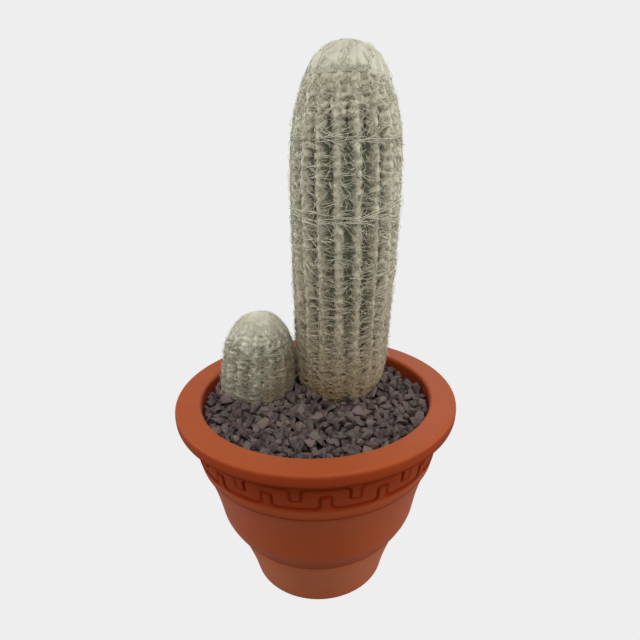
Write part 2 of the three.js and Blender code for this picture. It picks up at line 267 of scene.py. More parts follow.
@dataclass
class Board:
    """A node tree, with short ways to add nodes and feed them."""

    tree: Tree

    def feed(self, node: Node, sockets: dict) -> None:
        """Gives a node its inputs.

        Args:
            node: the node.
            sockets: sockets to link or values to set, by input name or number.
        """
        for name, value in sockets.items():
            entry = node.inputs[name]
            if isinstance(value, Socket):
                self.tree.links.new(value, entry)
            else:
                entry.default_value = (*value, 1.0) if entry.type == "RGBA" else value

    def add(self, kind: str, sockets: dict | None = None, **settings: object) -> Node:
        """Adds a node.

        Args:
            kind: its type's name.
            sockets: its inputs, as feed takes them.
            settings: its own properties.

        Returns:
            The new node.
        """
        node = self.tree.nodes.new(kind)
        for name, value in settings.items():
            setattr(node, name, value)
        self.feed(node, sockets or {})
        return node

    def maths(self, operation: str, *values: object) -> Socket:
        """Works out a sum, such as MULTIPLY_ADD, of numbers or sockets."""
        return self.add("ShaderNodeMath", dict(enumerate(values)), operation=operation).outputs[0]

    def blend(self, share: object, first: object, second: object) -> Socket:
        """Mixes two colours, by the share of the second."""
        return self.add("ShaderNodeMix", {0: share, 6: first, 7: second}, data_type="RGBA").outputs[2]

    def layer(self, name: str) -> Socket:
        """Reads the layer of numbers of that name."""
        return self.add("ShaderNodeAttribute", attribute_name=name).outputs["Fac"]

    def cover(self, colour: object, **over: Colour) -> Socket:
        """Lays colours over one, each by the layer of its name.

        Args:
            colour: the one below.
            over: the others, by layer.

        Returns:
            The mixed colour.
        """
        for name, upper in over.items():
            colour = self.blend(self.layer(name), colour, upper)
        return colour

    def effect(self, tree: Tree, **sockets: object) -> Socket:
        """Adds a shared effect."""
        return self.add("ShaderNodeGroup", sockets, node_tree=tree).outputs[0]

    def glow(self, dim: float) -> Socket:
        """A strength of 1 to the eye, and dimmer as a light."""
        seen = self.add("ShaderNodeLightPath").outputs["Is Camera Ray"]
        return self.maths("MULTIPLY_ADD", seen, 1 - dim, dim)


class Effects:
    """The shader node groups that several finishes share, each made once."""

    def __init__(self) -> None:
        """Builds the groups."""
        self.grain = self._grain()
        self.mottle = self._mottle()

    @staticmethod
    def _start(name: str, gives: str, **takes: str) -> tuple[Board, bpy.types.NodeOutputs, Node]:
        """Starts a group.

        Args:
            name: of the group.
            gives: the type of its output, named Result.
            takes: the types of its inputs.

        Returns:
            The group's board, what it takes in, and the node that gives its result.
        """
        tree = bpy.data.node_groups.new(name, "ShaderNodeTree")
        for socket, kind in takes.items():
            tree.interface.new_socket(socket, in_out="INPUT", socket_type="NodeSocket" + kind)
        tree.interface.new_socket("Result", in_out="OUTPUT", socket_type="NodeSocket" + gives)
        board = Board(tree)
        return board, board.add("NodeGroupInput").outputs, board.add("NodeGroupOutput")

    def _grain(self) -> Tree:
        """Makes a stretched noise, as a height from 0 to 1 for bumps and masks.

        Returns:
            The group.
        """
        board, taken, given = self._start("Grain", "Float", Scale="Float", Detail="Float", Stretch="Vector")
        place = board.add("ShaderNodeTexCoord").outputs["Object"]
        drawn = board.add("ShaderNodeVectorMath", {0: place, 1: taken["Stretch"]}, operation="MULTIPLY")
        sockets = {"Vector": drawn.outputs[0], "Scale": taken["Scale"], "Detail": taken["Detail"]}
        board.feed(given, {"Result": board.add("ShaderNodeTexNoise", sockets).outputs["Fac"]})
        return board.tree

    def _mottle(self) -> Tree:
        """Makes two colours that give way to each other in soft patches.

        Returns:
            The group.
        """
        takes = {"First": "Color", "Second": "Color", "Scale": "Float", "Contrast": "Float"}
        board, taken, given = self._start("Mottle", "Color", **takes)
        place = board.add("ShaderNodeTexCoord").outputs["Object"]
        sockets = {"Vector": place, "Scale": taken["Scale"], "Detail": 4.0}
        noise = board.add("ShaderNodeTexNoise", sockets).outputs["Fac"]
        raised = board.maths("MULTIPLY", board.maths("SUBTRACT", noise, 0.5), taken["Contrast"])
        share = board.add("ShaderNodeMath", {0: raised, 1: 0.5}, operation="ADD", use_clamp=True).outputs[0]
        board.feed(given, {"Result": board.blend(share, taken["First"], taken["Second"])})
        return board.tree


def new_material(name: str) -> tuple[Material, Board, Node]:
    """Starts a material.

    Args:
        name: of the material.

    Returns:
        The material, its board and its Principled shader.
    """
    material = bpy.data.materials.new(name)
    material.use_nodes = True
    board = Board(material.node_tree)
    shader = next(node for node in board.tree.nodes if node.type == "BSDF_PRINCIPLED")
    return material, board, shader


# Finishes


@dataclass(frozen=True, kw_only=True)
class Finish:
    """What all finishes share: two colours in soft patches, and a fine grain that the light catches."""

    name: str
    mottle: Point  # scale and contrast of the patches
    grain: Place  # scale, detail and upward stretch of the grain
    lift: float  # of the grain, in millimetres
    roughness: float

    def patches(self, board: Board) -> tuple[object, object]:
        """The two colours of the patches."""
        raise NotImplementedError

    def over(self, board: Board, colour: Socket) -> Socket:
        """What lies over the patches, here nothing."""
        return colour

    def gloss(self, board: Board, grain: Socket) -> dict:
        """The shader's inputs that make its gloss."""
        return {"Roughness": self.roughness}

    def make(self, effects: Effects) -> Material:
        """Makes the material.

        Args:
            effects: the shared groups.

        Returns:
            The material.
        """
        material, board, shader = new_material(self.name)
        first, second = self.patches(board)
        scale, contrast = self.mottle
        patches = board.effect(effects.mottle, First=first, Second=second, Scale=scale, Contrast=contrast)
        colour = self.over(board, patches)
        scale, detail, stretch = self.grain
        grain = board.effect(effects.grain, Scale=scale, Detail=detail, Stretch=(1, 1, stretch))
        bump = board.add("ShaderNodeBump", {"Height": grain, "Strength": 1.0, "Distance": self.lift * MM})
        board.feed(shader, {"Base Color": colour, "Normal": bump.outputs["Normal"]})
        board.feed(shader, self.gloss(board, grain))
        return material


@dataclass(frozen=True, kw_only=True)
class MouldedClay(Finish):
    """The pot's moulded terracotta colour, with painted shade on the band and the lip, and painted light on
    the foot and rim.
    """

    name: str = "moulded_clay"
    mottle: Point = (22.0, 2.2)
    grain: Place = (900.0, 3.0, 1.0)
    lift: float = 0.05
    roughness: float = 0.56
    body: Colour = tint(175, 80, 36)
    patch: Colour = tint(167, 73, 31)
    # painted shade: the colour mixed in on the band, the lip's face, under the lip, under the ledge and along
    # the key's edges
    groove: Colour = tint(131, 38, 18)
    # painted light: the paler colour mixed in on the foot, the belly's bottom and the rim's top
    bloom: Colour = tint(202, 118, 80)
    sheen: float = 0.1
    shine: float = 0.12
    dulled: tuple[tuple[str, float], ...] = (("groove", 1.3), ("under", 1.0), ("bloom", 0.9))  # by layer

    def patches(self, board: Board) -> tuple[object, object]:
        """The body's colour and a slightly deeper one."""
        return self.body, self.patch

    def over(self, board: Board, colour: Socket) -> Socket:
        """The painted shade of the band, the lip and the creases, and the painted light on the foot and the
        rim.
        """
        return board.cover(colour, groove=self.groove, bloom=self.bloom)

    def gloss(self, board: Board, grain: Socket) -> dict:
        """A soft gloss: less where the painted shade and the painted light lie, and none on what faces down.

        Args:
            board: the material's.
            grain: its height.

        Returns:
            The shader's inputs.
        """
        lit: object = 1.0
        for name, loss in self.dulled:
            lit = board.maths("MULTIPLY_ADD", board.layer(name), -loss, lit)
        lit = board.maths("MAXIMUM", lit, 0.0)
        return {
            "Roughness": board.maths("MULTIPLY_ADD", grain, 0.16, self.roughness - 0.08),
            "Sheen Weight": board.maths("MULTIPLY", lit, self.sheen),
            "Sheen Roughness": 0.35,
            "Specular IOR Level": board.maths("MULTIPLY", lit, self.shine),
        }


@dataclass(frozen=True, kw_only=True)
class Slate(Finish):
    """The purple-grey chippings, a few of them greenish or sandy."""

    name: str = "slate_chippings"
    mottle: Point = (330.0, 3.0)
    grain: Place = (1100.0, 4.0, 1.0)
    lift: float = 0.35
    roughness: float = 0.75
    dark: Colour = tint(56, 46, 45)
    pale: Colour = tint(127, 108, 104)
    green: Colour = tint(98, 97, 84)
    sandy: Colour = tint(142, 122, 103)
    dust: float = 0.45

    def patches(self, board: Board) -> tuple[object, object]:
        """The stone's own colour, and the same with pale dust."""
        stone = board.cover(self.dark, shade=self.pale, greenness=self.green, warmth=self.sandy)
        return stone, board.blend(self.dust, stone, self.pale)


@dataclass(frozen=True, kw_only=True)
class Mix(Finish):
    """The damp potting mix."""

    name: str = "potting_mix"
    mottle: Point = (260.0, 3.0)
    grain: Place = (380.0, 6.0, 1.0)
    lift: float = 1.5
    roughness: float = 0.95
    crumb: Colour = tint(46, 36, 30)
    bark: Colour = tint(84, 64, 46)

    def patches(self, board: Board) -> tuple[object, object]:
        """Crumb and bark."""
        return self.crumb, self.bark


@dataclass(frozen=True, kw_only=True)
class Flesh(Finish):
    """The green skin of the plant, with painted shade deeper in the furrows, and corky at the foot."""

    name: str = "cactus_flesh"
    mottle: Point = (240.0, 2.6)
    grain: Place = (1400.0, 3.0, 1.0)
    lift: float = 0.12
    roughness: float = 0.62
    green: Colour = tint(128, 134, 108)
    # the skin's own waxy bloom, in patches
    bloom: Colour = tint(146, 158, 136)
    # painted shade: the darker colour mixed in by the furrows' depth
    deep: Colour = tint(112, 116, 92)
    cork: Colour = tint(130, 108, 76)

    def patches(self, board: Board) -> tuple[object, object]:
        """Bare green, and green under a waxy bloom."""
        return self.green, self.bloom

    def over(self, board: Board, colour: Socket) -> Socket:
        """The painted shade of the deeper furrows, and the cork."""
        return board.cover(colour, depth=self.deep, age=self.cork)


@dataclass(frozen=True, kw_only=True)
class Fleece(Finish):
    """Wool, hairs and spines: one colour when new, another when old."""

    mottle: Point = (900.0, 2.5)
    grain: Place = (1500.0, 4.0, 0.35)
    roughness: float = 0.9
    new: Colour
    dull: Colour
    aged: Colour
    sheen: float

    def patches(self, board: Board) -> tuple[object, object]:
        """The colour by tone and age, and a paler one."""
        aged = board.cover(self.dull, tone=self.new, age=self.aged)
        return aged, board.blend(0.3, aged, self.new)

    def gloss(self, board: Board, grain: Socket) -> dict:
        """A dull gloss with a sheen."""
        sheen = {"Sheen Weight": self.sheen, "Sheen Roughness": 0.5}
        return {"Roughness": self.roughness, "Specular IOR Level": 0.2, **sheen}


class Wool(Enum):
    """The kinds of wool and hair, each with its own finish."""

    FELT = "felted_wool"
    HAIR = "white_hair"
    CAP = "cap_wool"
    YOUNG = "young_wool"
    SPINE = "straw_spine"


class Kit:
    """The finishes, each made once."""

    def __init__(self) -> None:
        """Makes them."""
        effects = Effects()
        self.clay = MouldedClay().make(effects)
        self.slate = Slate().make(effects)
        self.mix = Mix().make(effects)
        self.flesh = Flesh().make(effects)
        self.fleece: dict[Wool, Material] = {}
        for kind, new, dull, aged, sheen, lift in (
            (Wool.FELT, tint(220, 215, 191), tint(146, 140, 114), tint(142, 109, 52), 0.3, 0.6),
            (Wool.HAIR, tint(234, 230, 209), tint(166, 160, 134), tint(168, 129, 62), 0.3, 0.3),
            (Wool.CAP, tint(216, 214, 193), tint(168, 168, 140), tint(214, 208, 180), 0.25, 0.12),
            (Wool.YOUNG, tint(240, 238, 218), tint(102, 106, 77), tint(136, 106, 66), 0.2, 0.3),
            (Wool.SPINE, tint(226, 212, 184), tint(190, 164, 132), tint(168, 132, 92), 0.0, 0.02),
        ):
            fleece = Fleece(name=kind.value, new=new, dull=dull, aged=aged, sheen=sheen, lift=lift)
            self.fleece[kind] = fleece.make(effects)


# Pot


@dataclass
class KeyBand:
    """The meander: a pillowed channel that winds between bars that rise and hang in turn."""

    repeats: int = 15
    first_turn: float = -87.0  # of a rising bar, in degrees
    bottom: float = 111.6
    top: float = 129.4
    bar_width: float = 4.9
    rise_top: float = 121.6
    hang_bottom: float = 119.6
    corner: float = 4.4  # radius of the channel's corners
    depth: float = 1.15
    pillow: float = 0.62  # how much its middle is raised
    wall: float = 0.7  # width of the slope at its edge
    shoulder: float = 2.4  # width of the pillow's slope
    line: float = 1.1  # width of the painted shade line along its edge

    def inside(self, turn: Array, z: Array, radius: Array) -> Array:
        """How far inside the channel each point of the band is.

        Args:
            turn: of the points, in degrees.
            z: their heights, in millimetres.
            radius: of the band there.

        Returns:
            The distance to the channel's nearest edge in millimetres, below 0 outside it.
        """
        period = 360 / self.repeats
        across = (turn - self.first_turn) % period
        to_riser = np.minimum(across, period - across)
        to_hanger = np.abs(across - period / 2)
        millimetres = radius * math.pi / 180
        riser = self._off_bar(to_riser * millimetres - self.bar_width / 2, z - self.rise_top)
        hanger = self._off_bar(to_hanger * millimetres - self.bar_width / 2, self.hang_bottom - z)
        return np.minimum(self._rounded(z - self.bottom, riser), self._rounded(self.top - z, hanger))

    @staticmethod
    def _off_bar(beside: Array, beyond: Array) -> Array:
        """The distance off a bar, from the distances beside it and beyond its end."""
        corner = np.hypot(np.maximum(beside, 0), np.maximum(beyond, 0))
        return np.where(corner > 0, corner, np.maximum(beside, beyond))

    def _rounded(self, first: Array, second: Array) -> Array:
        """The distance to the nearer of two edges, with the corner between them rounded.

        Args:
            first: the distances to one edge.
            second: those to the other.

        Returns:
            The distances to the rounded edge.
        """
        short = [np.maximum(self.corner - edge, 0) for edge in (first, second)]
        in_corner = (first < self.corner) & (second < self.corner)
        return np.where(in_corner, self.corner - np.hypot(*short), np.minimum(first, second))

    def sink(self, inside: Array) -> Array:
        """How deep the relief lies, by the distance inside: deepest at its edge and raised in its middle."""
        pillow = smooth_step(inside, self.wall, self.wall + self.shoulder)
        return smooth_step(inside, 0.0, self.wall) * (self.depth - self.pillow * pillow)

    def shade(self, inside: Array) -> Array:
        """How strongly the painted shade line along the edge shows, by the distance inside, 0 to 1."""
        return np.exp(-(((inside - self.wall) / self.line) ** 2))


@dataclass
class Pot:
    """The moulded pot."""

    rim: float = 100.0
    height: float = 147.0
    mouth: float = 82.0
    coarse: int = 180  # columns
    split: int = 6  # columns of the band in each
    row_step: float = 0.5
    band_low: Point = (87.1, 110.8)
    band_high: Point = (90.3, 131.2)
    drain_radius: float = 4.0
    drain_circle: float = 26.0
    drill: Point = (-3.0, 8.0)  # heights of the drill's ends
    drill_sides: int = 32
    lip_shade: float = 0.5  # depth of the painted shade from the band up over the lip's face, under the lip's overhang
    shade_from: Point = (109.0, 113.0)  # heights over which it comes in
    shade_to: Point = (143.5, 146.8)  # and over which it goes
    crease_shade: tuple[Place, ...] = ((137.0, 0.7, 4.2), (103.4, 0.3, 2.6))  # painted shade under the lip and under the ledge: height, depth of colour, reach
    key_edge_shade: float = 0.8  # depth of the painted shade along the key band's edge
    # painted light, paler: on the foot and the belly's bottom from below, and on the rim's top from above
    foot_painted_light: float = 0.6
    foot_from: Point = (-25.0, 30.0)
    foot_to: Point = (41.0, 46.0)
    rim_painted_light: float = 0.14
    rim_from: Point = (144.5, 146.8)
    under: Point = (0.3, 0.62)  # how much a face looks down, from open to fully under
    key: KeyBand = field(default_factory=KeyBand)

    def below_band(self) -> list[Point]:
        """The section from under the middle out to the foot and up to the band.

        Returns:
            Radii and heights.
        """
        foot = [(0.0, 1.5), (20.0, 1.5), (39.6, 1.5), (40.6, 1.2), (41.0, 0.4), (41.6, 0.0), (45.0, 0.0)]
        heel = [(48.4, 0.0), (49.4, 0.2), (50.0, 0.9), (50.4, 2.4)]
        leg = [(52.5, 11.0), (54.9, 19.0), (57.6, 27.0), (60.0, 34.0)]
        edge = [(61.6, 39.6), (61.9, 40.8), (62.0, 41.4)]
        belly = [(62.7, 42.0), (65.3, 45.0), (68.3, 50.0), (71.0, 55.0), (72.9, 60.0), (74.3, 67.0)]
        side = [(75.9, 75.0), (77.8, 83.0), (80.1, 91.0), (82.0, 97.0), (83.2, 100.2)]
        ledge = [(84.0, 101.8), (84.9, 102.9), (85.5, 104.2), (85.9, 106.0), (86.6, 109.0)]
        lower = spline([heel[-1], *leg, *edge], 3)[1:]
        return [*foot, *heel, *lower, *spline([edge[-1], *belly, *side, *ledge], 3)[1:]]

    def above_band(self) -> list[Point]:
        """The section from the band's top over the lip and down inside to the floor.

        Returns:
            Radii and heights.
        """
        lip = [(90.7, 132.3), (91.5, 133.3), (93.0, 133.8), (95.4, 134.4), (97.9, 135.9), (99.5, 138.3)]
        edge = [(self.rim, 141.2), (self.rim, 144.0), (99.7, 145.6), (98.9, 146.6)]
        top = [(radius, self.height) for radius in (97.5, 91.0, 84.6)]
        mouth = [(83.2, 146.7), (82.3, 145.8), (self.mouth, 144.2), (self.mouth - 0.1, 140.0)]
        inner = [(81.4, 120.0), (79.2, 99.0), (75.2, 83.0), (71.0, 67.0), (68.4, 58.0), (58.6, 41.5)]
        floor = [(47.9, 5.4), (47.0, 4.3), (45.8, 4.0), (20.0, 4.0), (0.0, 4.0)]
        return [*spline([*lip, *edge, *top, *mouth], 4), *inner, *floor]

    def build(self, kit: Kit) -> None:
        """Makes the pot, in its finish."""
        dress(self.body(), kit.clay, "terracotta", "pot")

    def body(self) -> Piece:
        """Turns the section round the axis, with fine columns over the band, and drills the floor.

        Returns:
            The pot as one mesh.
        """
        low, high = np.array(self.below_band()), np.array(self.above_band())
        rows = round((self.band_high[1] - self.band_low[1]) / self.row_step) + 1
        fine = self.coarse * self.split
        radius, height = (column[:, None] for column in np.linspace(self.band_low, self.band_high, rows).T)
        inside = self.key.inside(np.arange(fine) * 360 / fine, height, radius)
        layers = [
            rings(low[1:, :1], low[1:, 1:], self.coarse),
            rings(radius - self.key.sink(inside), height, fine),
            rings(high[:-1, :1], high[:-1, 1:], self.coarse),
        ]
        points = np.concatenate([*layers, [[0, 0, low[0, 1]], [0, 0, high[-1, 1]]]])
        first, second, pole = np.cumsum([len(layer) for layer in layers])
        here, after = around(self.coarse)
        comb = (here[:, None] * self.split + np.arange(self.split + 1)) % fine
        last = first - self.coarse
        faces = [
            ring_faces(len(low) - 1, self.coarse),
            ring_faces(rows, fine) + first,
            ring_faces(len(high) - 1, self.coarse) + second,
            np.column_stack([last + here, last + after, first + comb[:, ::-1]]),
            np.column_stack([second + after, second + here, second - fine + comb]),
            fan(pole, 0, self.coarse, rising=False),
            fan(pole + 1, pole - self.coarse, self.coarse, rising=True),
        ]
        z = points[:, 2]
        # painted shade: darker over the band and the lip's face, under the lip, under the ledge and along the
        # key's edges
        dark = self.lip_shade * (smooth_step(z, *self.shade_from) - smooth_step(z, *self.shade_to))
        for middle, deep, reach in self.crease_shade:
            dark = np.maximum(dark, deep * np.exp(-(((z - middle) / reach) ** 2)))
        dark[first:second] += self.key_edge_shade * (1 - dark[first:second]) * self.key.shade(inside).ravel()
        # painted light: paler on the foot and the belly's bottom, and on the rim's top
        foot = self.foot_painted_light * (1 - smooth_step(z, *self.foot_to)) * smooth_step(z, *self.foot_from)
        bloom = foot + self.rim_painted_light * smooth_step(z, *self.rim_from)
        piece = make_piece("pot_body", points, faces, Skin.SMOOTH, groove=dark, bloom=bloom)
        facing = np.empty(3 * len(points))
        piece.data.vertex_normals.foreach_get("vector", facing)
        add_layer(piece, "under", smooth_step(-facing[2::3], *self.under))
        self._drill(piece)
        return piece

    def _drill(self, piece: Piece) -> None:
        """Cuts a hole in the middle of the floor and four round it.

        Args:
            piece: the pot.
        """
        centres = [(0.0, 0.0)]
        for quarter in range(4):
            turn = (quarter + 0.5) * math.pi / 2
            centres.append((self.drain_circle * math.cos(turn), self.drain_circle * math.sin(turn)))
        for x, y in centres:
            points, faces = disc(self.drain_radius, *self.drill, self.drill_sides)
            drill = make_piece("drill", points + (x, y, 0), faces, Skin.FLAT)
            cut = piece.modifiers.new("drain", "BOOLEAN")
            cut.object, cut.operation, cut.solver = drill, "DIFFERENCE", "MANIFOLD"
            graph = bpy.context.evaluated_depsgraph_get()
            drilled = bpy.data.meshes.new_from_object(piece.evaluated_get(graph))
            piece.modifiers.clear()
            piece.data = drilled
            bpy.data.objects.remove(drill)


# Potting mix and chippings


@dataclass
class PottingMix:
    """The damp filling of the pot, which stays as the plain solid."""

    node: str = "potting_mix"

    def build(self, kit: Kit) -> None:
        """Gives the solid its finish.

        Args:
            kit: the finishes.
        """
        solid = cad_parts[self.node].data
        solid.materials.clear()
        solid.materials.append(kit.mix)
        LOG.info("%s: %d points, %d faces", self.node, len(solid.vertices), len(solid.polygons))


@dataclass
class Chippings:
    """Crushed stone, dropped piece by piece on the potting mix and heaped a little against the plants."""

    bed: float = 132.4
    level: float = 142.3
    reach: float = 81.4
    sizes: Point = (4.6, 10.8)
    usual: float = 1.4  # how much the usual stone is over the smallest
    girth: float = 0.34  # a stone's radius against its size
    nest: float = 0.94  # how far apart stones rest, against their radii
    shapes: int = 36
    block: Place = (0.54, 0.4, 0.31)  # half the sizes of the block that a stone is cut from
    tumble: float = 0.6  # spread of a stone's tilt, in radians
    greenish: float = 0.22  # share of the stones
    sandy: float = 0.05  # share of the stones
    wall_room: float = 1.1  # from a stone's middle to the wall, against its radius
    plant_room: float = 0.1  # from its middle to a plant's foot
    sunk: float = 0.4  # how far under the level its middle stays
    heap: float = 1.8
    heap_reach: Point = (1.0, 8.0)  # from the plants, over which it falls off
    tries: int = 14
    patience: int = 60  # stones that find no place before the last
    seed: int = 21

    def build(self, kit: Kit, plants: list["Plant"]) -> None:
        """Makes the chippings round some plants, in their finish."""
        dress(self.stones(plants), kit.slate, "chippings", "gravel")

    def stones(self, plants: list["Plant"]) -> Piece:
        """Drops the stones and joins them in one mesh.

        Args:
            plants: to keep clear of.

        Returns:
            The chippings.
        """
        draw = np.random.default_rng(self.seed)
        shapes = [self._shape(draw) for _ in range(self.shapes)]
        places = self._drop(draw, plants)
        points, faces, looks, many = [], [], [], []
        for x, y, z, size in places:
            corners, sides = shapes[draw.integers(self.shapes)]
            spin = Matrix.Rotation(draw.uniform(0, FULL_TURN), 3, "Z")
            nod, roll = (Matrix.Rotation(draw.normal(0, self.tumble), 3, axis) for axis in "XY")
            points.append(corners @ np.array(nod @ roll @ spin).T * size + (x, y, z))
            faces.append(sides + sum(many))
            many.append(len(corners))
            shade = draw.beta(1.1, 1.9)
            greenness = draw.uniform(0.3, 0.8) if draw.random() < self.greenish else 0.0
            warmth = draw.uniform(0.4, 0.9) if draw.random() < self.sandy else 0.0
            looks.append((shade, greenness, warmth))
        layers = zip(("shade", "greenness", "warmth"), np.repeat(looks, many, axis=0).T)
        LOG.info("%d stones", len(places))
        return make_piece("stone_chippings", np.concatenate(points), faces, Skin.FLAT, **dict(layers))

    def _shape(self, draw: Draw) -> tuple[Array, Array]:
        """One angular stone about 1 across: the convex hull of a few points on a flattened block.

        Args:
            draw: the random draw.

        Returns:
            Its corners and its three-sided faces.
        """
        mesh = bmesh.new()
        for _ in range(draw.integers(11, 16)):
            place = draw.normal(size=3)
            place /= np.abs(place).max() ** 0.6 * np.linalg.norm(place) ** 0.4
            mesh.verts.new(place * self.block * draw.uniform(0.82, 1.14))
        bmesh.ops.convex_hull(mesh, input=mesh.verts, use_existing_faces=False)
        loose = [vert for vert in mesh.verts if not vert.link_faces]
        bmesh.ops.delete(mesh, geom=loose, context="VERTS")
        mesh.verts.index_update()
        corners = np.array([vert.co for vert in mesh.verts])
        sides = np.array([[vert.index for vert in face.verts] for face in mesh.faces])
        mesh.free()
        return corners, sides

    def _drop(self, draw: Draw, plants: list["Plant"]) -> Array:
        """Lets stones settle one on another, each in the lowest of a few places.

        Args:
            draw: the random draw.
            plants: to keep clear of.

        Returns:
            The stones' x, y, z and size, one a row.
        """
        placed = np.empty((0, 4))
        misses = 0
        while misses < self.patience:
            size = draw.triangular(self.sizes[0], self.sizes[0] + self.usual, self.sizes[1])
            radius = size * self.girth
            turn, out = draw.uniform(0, FULL_TURN, self.tries), np.sqrt(draw.uniform(0, 1, self.tries))
            out *= self.reach - radius * self.wall_room
            x, y = out * np.cos(turn), out * np.sin(turn)
            far = np.min([np.hypot(x - plant.x, y - plant.y) - plant.foot for plant in plants], axis=0)
            clear = far > radius * self.plant_room
            x, y, far = x[clear], y[clear], far[clear]
            if not len(x):
                continue
            heap = self.heap * (1 - smooth_step(far, *self.heap_reach))
            apart = (x[:, None] - placed[:, 0]) ** 2 + (y[:, None] - placed[:, 1]) ** 2
            touch = ((radius + placed[:, 3] * self.girth) * self.nest) ** 2 - apart
            rest = np.where(touch > 0, placed[:, 2] + np.sqrt(np.maximum(touch, 0)), 0)
            z = np.maximum(self.bed + radius, rest.max(axis=1, initial=0))
            best = int((z - heap).argmin())
            if z[best] - heap[best] > self.level - radius * self.sunk:
                misses += 1
                continue
            placed = np.vstack([placed, (x[best], y[best], z[best], size)])
        return placed


# Hairs


def evenly(low: float, high: float) -> Rule:
    """Draws evenly between two ends."""
    return lambda draw, count: draw.uniform(low, high, count)


def rarely_big(mean: float) -> Rule:
    """Draws small numbers often and big ones rarely."""
    return lambda draw, count: draw.exponential(mean, count)


def always(value: float | Array) -> Rule:
    """Gives the same without a draw."""
    return lambda draw, count: np.zeros(count) + value


@dataclass(frozen=True, kw_only=True)
class Hair:
    """A kind of hair that lies on a plant."""

    bend: float  # spread of the curl along it, in radians
    root: Rule  # depth of the root
    lift: Rule = always(0.0)  # on the way
    length: Rule = always(0.0)
    dips: Rule = always(0.0)  # share of the furrow that it dips into
    thickness: float  # against the plant's own
    tone: Point  # the two shape numbers of its beta draw, dull to bright


LOCK = Hair(bend=1.4, root=evenly(0.2, 1.3), lift=rarely_big(0.3), thickness=0.95, tone=(2, 2))
CROSSING = Hair(bend=0.6, root=evenly(0.3, 1.2), lift=evenly(0, 0.6), thickness=1.0, tone=(2, 2))
COMBED = Hair(bend=0.5, root=evenly(-0.1, 0.3), lift=rarely_big(0.12), thickness=0.4, tone=(6, 2))
SUNKEN = Hair(
    bend=1.0, length=evenly(3, 6), dips=always(0.9), root=evenly(0.4, 2.0), thickness=1.2, tone=(1.2, 2.5)
)
FUZZ = Hair(
    bend=1.5, length=evenly(4, 9), root=evenly(0.2, 0.8), lift=evenly(0.7, 2.2), thickness=0.5, tone=(3, 1)
)
WANDERER = Hair(
    bend=1.3, length=evenly(6, 14), dips=evenly(0.1, 0.8), root=evenly(0.1, 1.0), lift=rarely_big(0.35),
    thickness=0.75, tone=(2.5, 1.4),
)
WISP = Hair(
    bend=0.25, length=evenly(10, 26), dips=evenly(0, 0.25), root=evenly(-0.5, 0.3), lift=evenly(0, 0.6),
    thickness=1.25, tone=(4, 1),
)
WISP_HAIRS = 6


class Tresses:
    """Many hairs, each a closed three-sided tube that thins to a point."""

    def __init__(self) -> None:
        """Starts with none."""
        self.points: list[Array] = []
        self.faces: list[Array] = []
        self.tone: list[Array] = []
        self.age: list[Array] = []
        self.count = 0

    def add(self, paths: Array, thickness: Array, tone: Array, age: Array) -> None:
        """Adds hairs.

        Args:
            paths: their middle lines, as hairs x steps x 3, in millimetres.
            thickness: of each at its root.
            tone: of each, 0 dull to 1 bright.
            age: of each, 0 new to 1 old.
        """
        hairs, steps = paths.shape[:2]
        along = np.gradient(paths, axis=1)
        along /= np.linalg.norm(along, axis=2, keepdims=True) + 1e-9
        helper = np.where(np.abs(along[..., 2:]) < 0.8, (0.0, 0.0, 1.0), (1.0, 0.0, 0.0))
        side = np.cross(along, helper)
        side /= np.linalg.norm(side, axis=2, keepdims=True) + 1e-9
        over = np.cross(along, side)
        radius = thickness[:, None] * 0.5 * (1 - 0.55 * np.linspace(0, 1, steps) ** 1.5)
        spokes = (math.cos(turn) * side + math.sin(turn) * over for turn in turns(3))
        body = np.stack([paths + radius[..., None] * spoke for spoke in spokes], 2)[:, :-1]
        body = body.reshape(hairs, -1, 3)
        each = body.shape[1] + 1
        corner, after = around(3)
        ring = np.arange(steps - 2)[:, None] * 3
        walls = np.stack([ring + corner, ring + after, ring + 3 + after, ring + 3 + corner], -1)
        last = (steps - 2) * 3
        tips = np.stack([last + corner, last + after, np.full(3, each - 1)], -1)
        ends = np.concatenate([tips, [[2, 1, 0]]])
        first = self.count + np.arange(hairs)[:, None, None] * each
        self.faces += [(walls.reshape(-1, 4) + first).reshape(-1, 4), (ends + first).reshape(-1, 3)]
        self.points.append(np.concatenate([body, paths[:, -1:]], 1).reshape(-1, 3))
        self.tone.append(np.repeat(tone, each))
        self.age.append(np.repeat(age, each))
        self.count += hairs * each

    def build(self, name: str) -> Piece:
        """Makes one mesh of the hairs."""
        tone, age = np.concatenate(self.tone), np.concatenate(self.age)
        return make_piece(name, np.concatenate(self.points), self.faces, Skin.SMOOTH, tone=tone, age=age)


# Plants


@dataclass
class Coat:
    """How hairy a plant is. Lengths are in millimetres."""

    areole_pitch: float
    locks: int  # hairs along the rib at each areole
    lock_length: Point
    strands: int  # hairs that spill from each areole into the furrows
    crossings: int  # hairs in each lock that crosses a furrow
    crossing_share: float
    web: int
    floor: int  # short hairs down in the furrows
    fuzz: int
    cap_hairs: int
    bands: list[tuple[float, int]]  # height, and wisps round the plant there
    spine_share: float
    felt_width: float  # against half a rib's pitch
    felt_beat: float  # how much wider it is at the areoles
    new_tone: float = 0.0  # what the tone gains where the wool is new
    dim: float = 0.0  # what it loses elsewhere
    thickness: float = 0.5


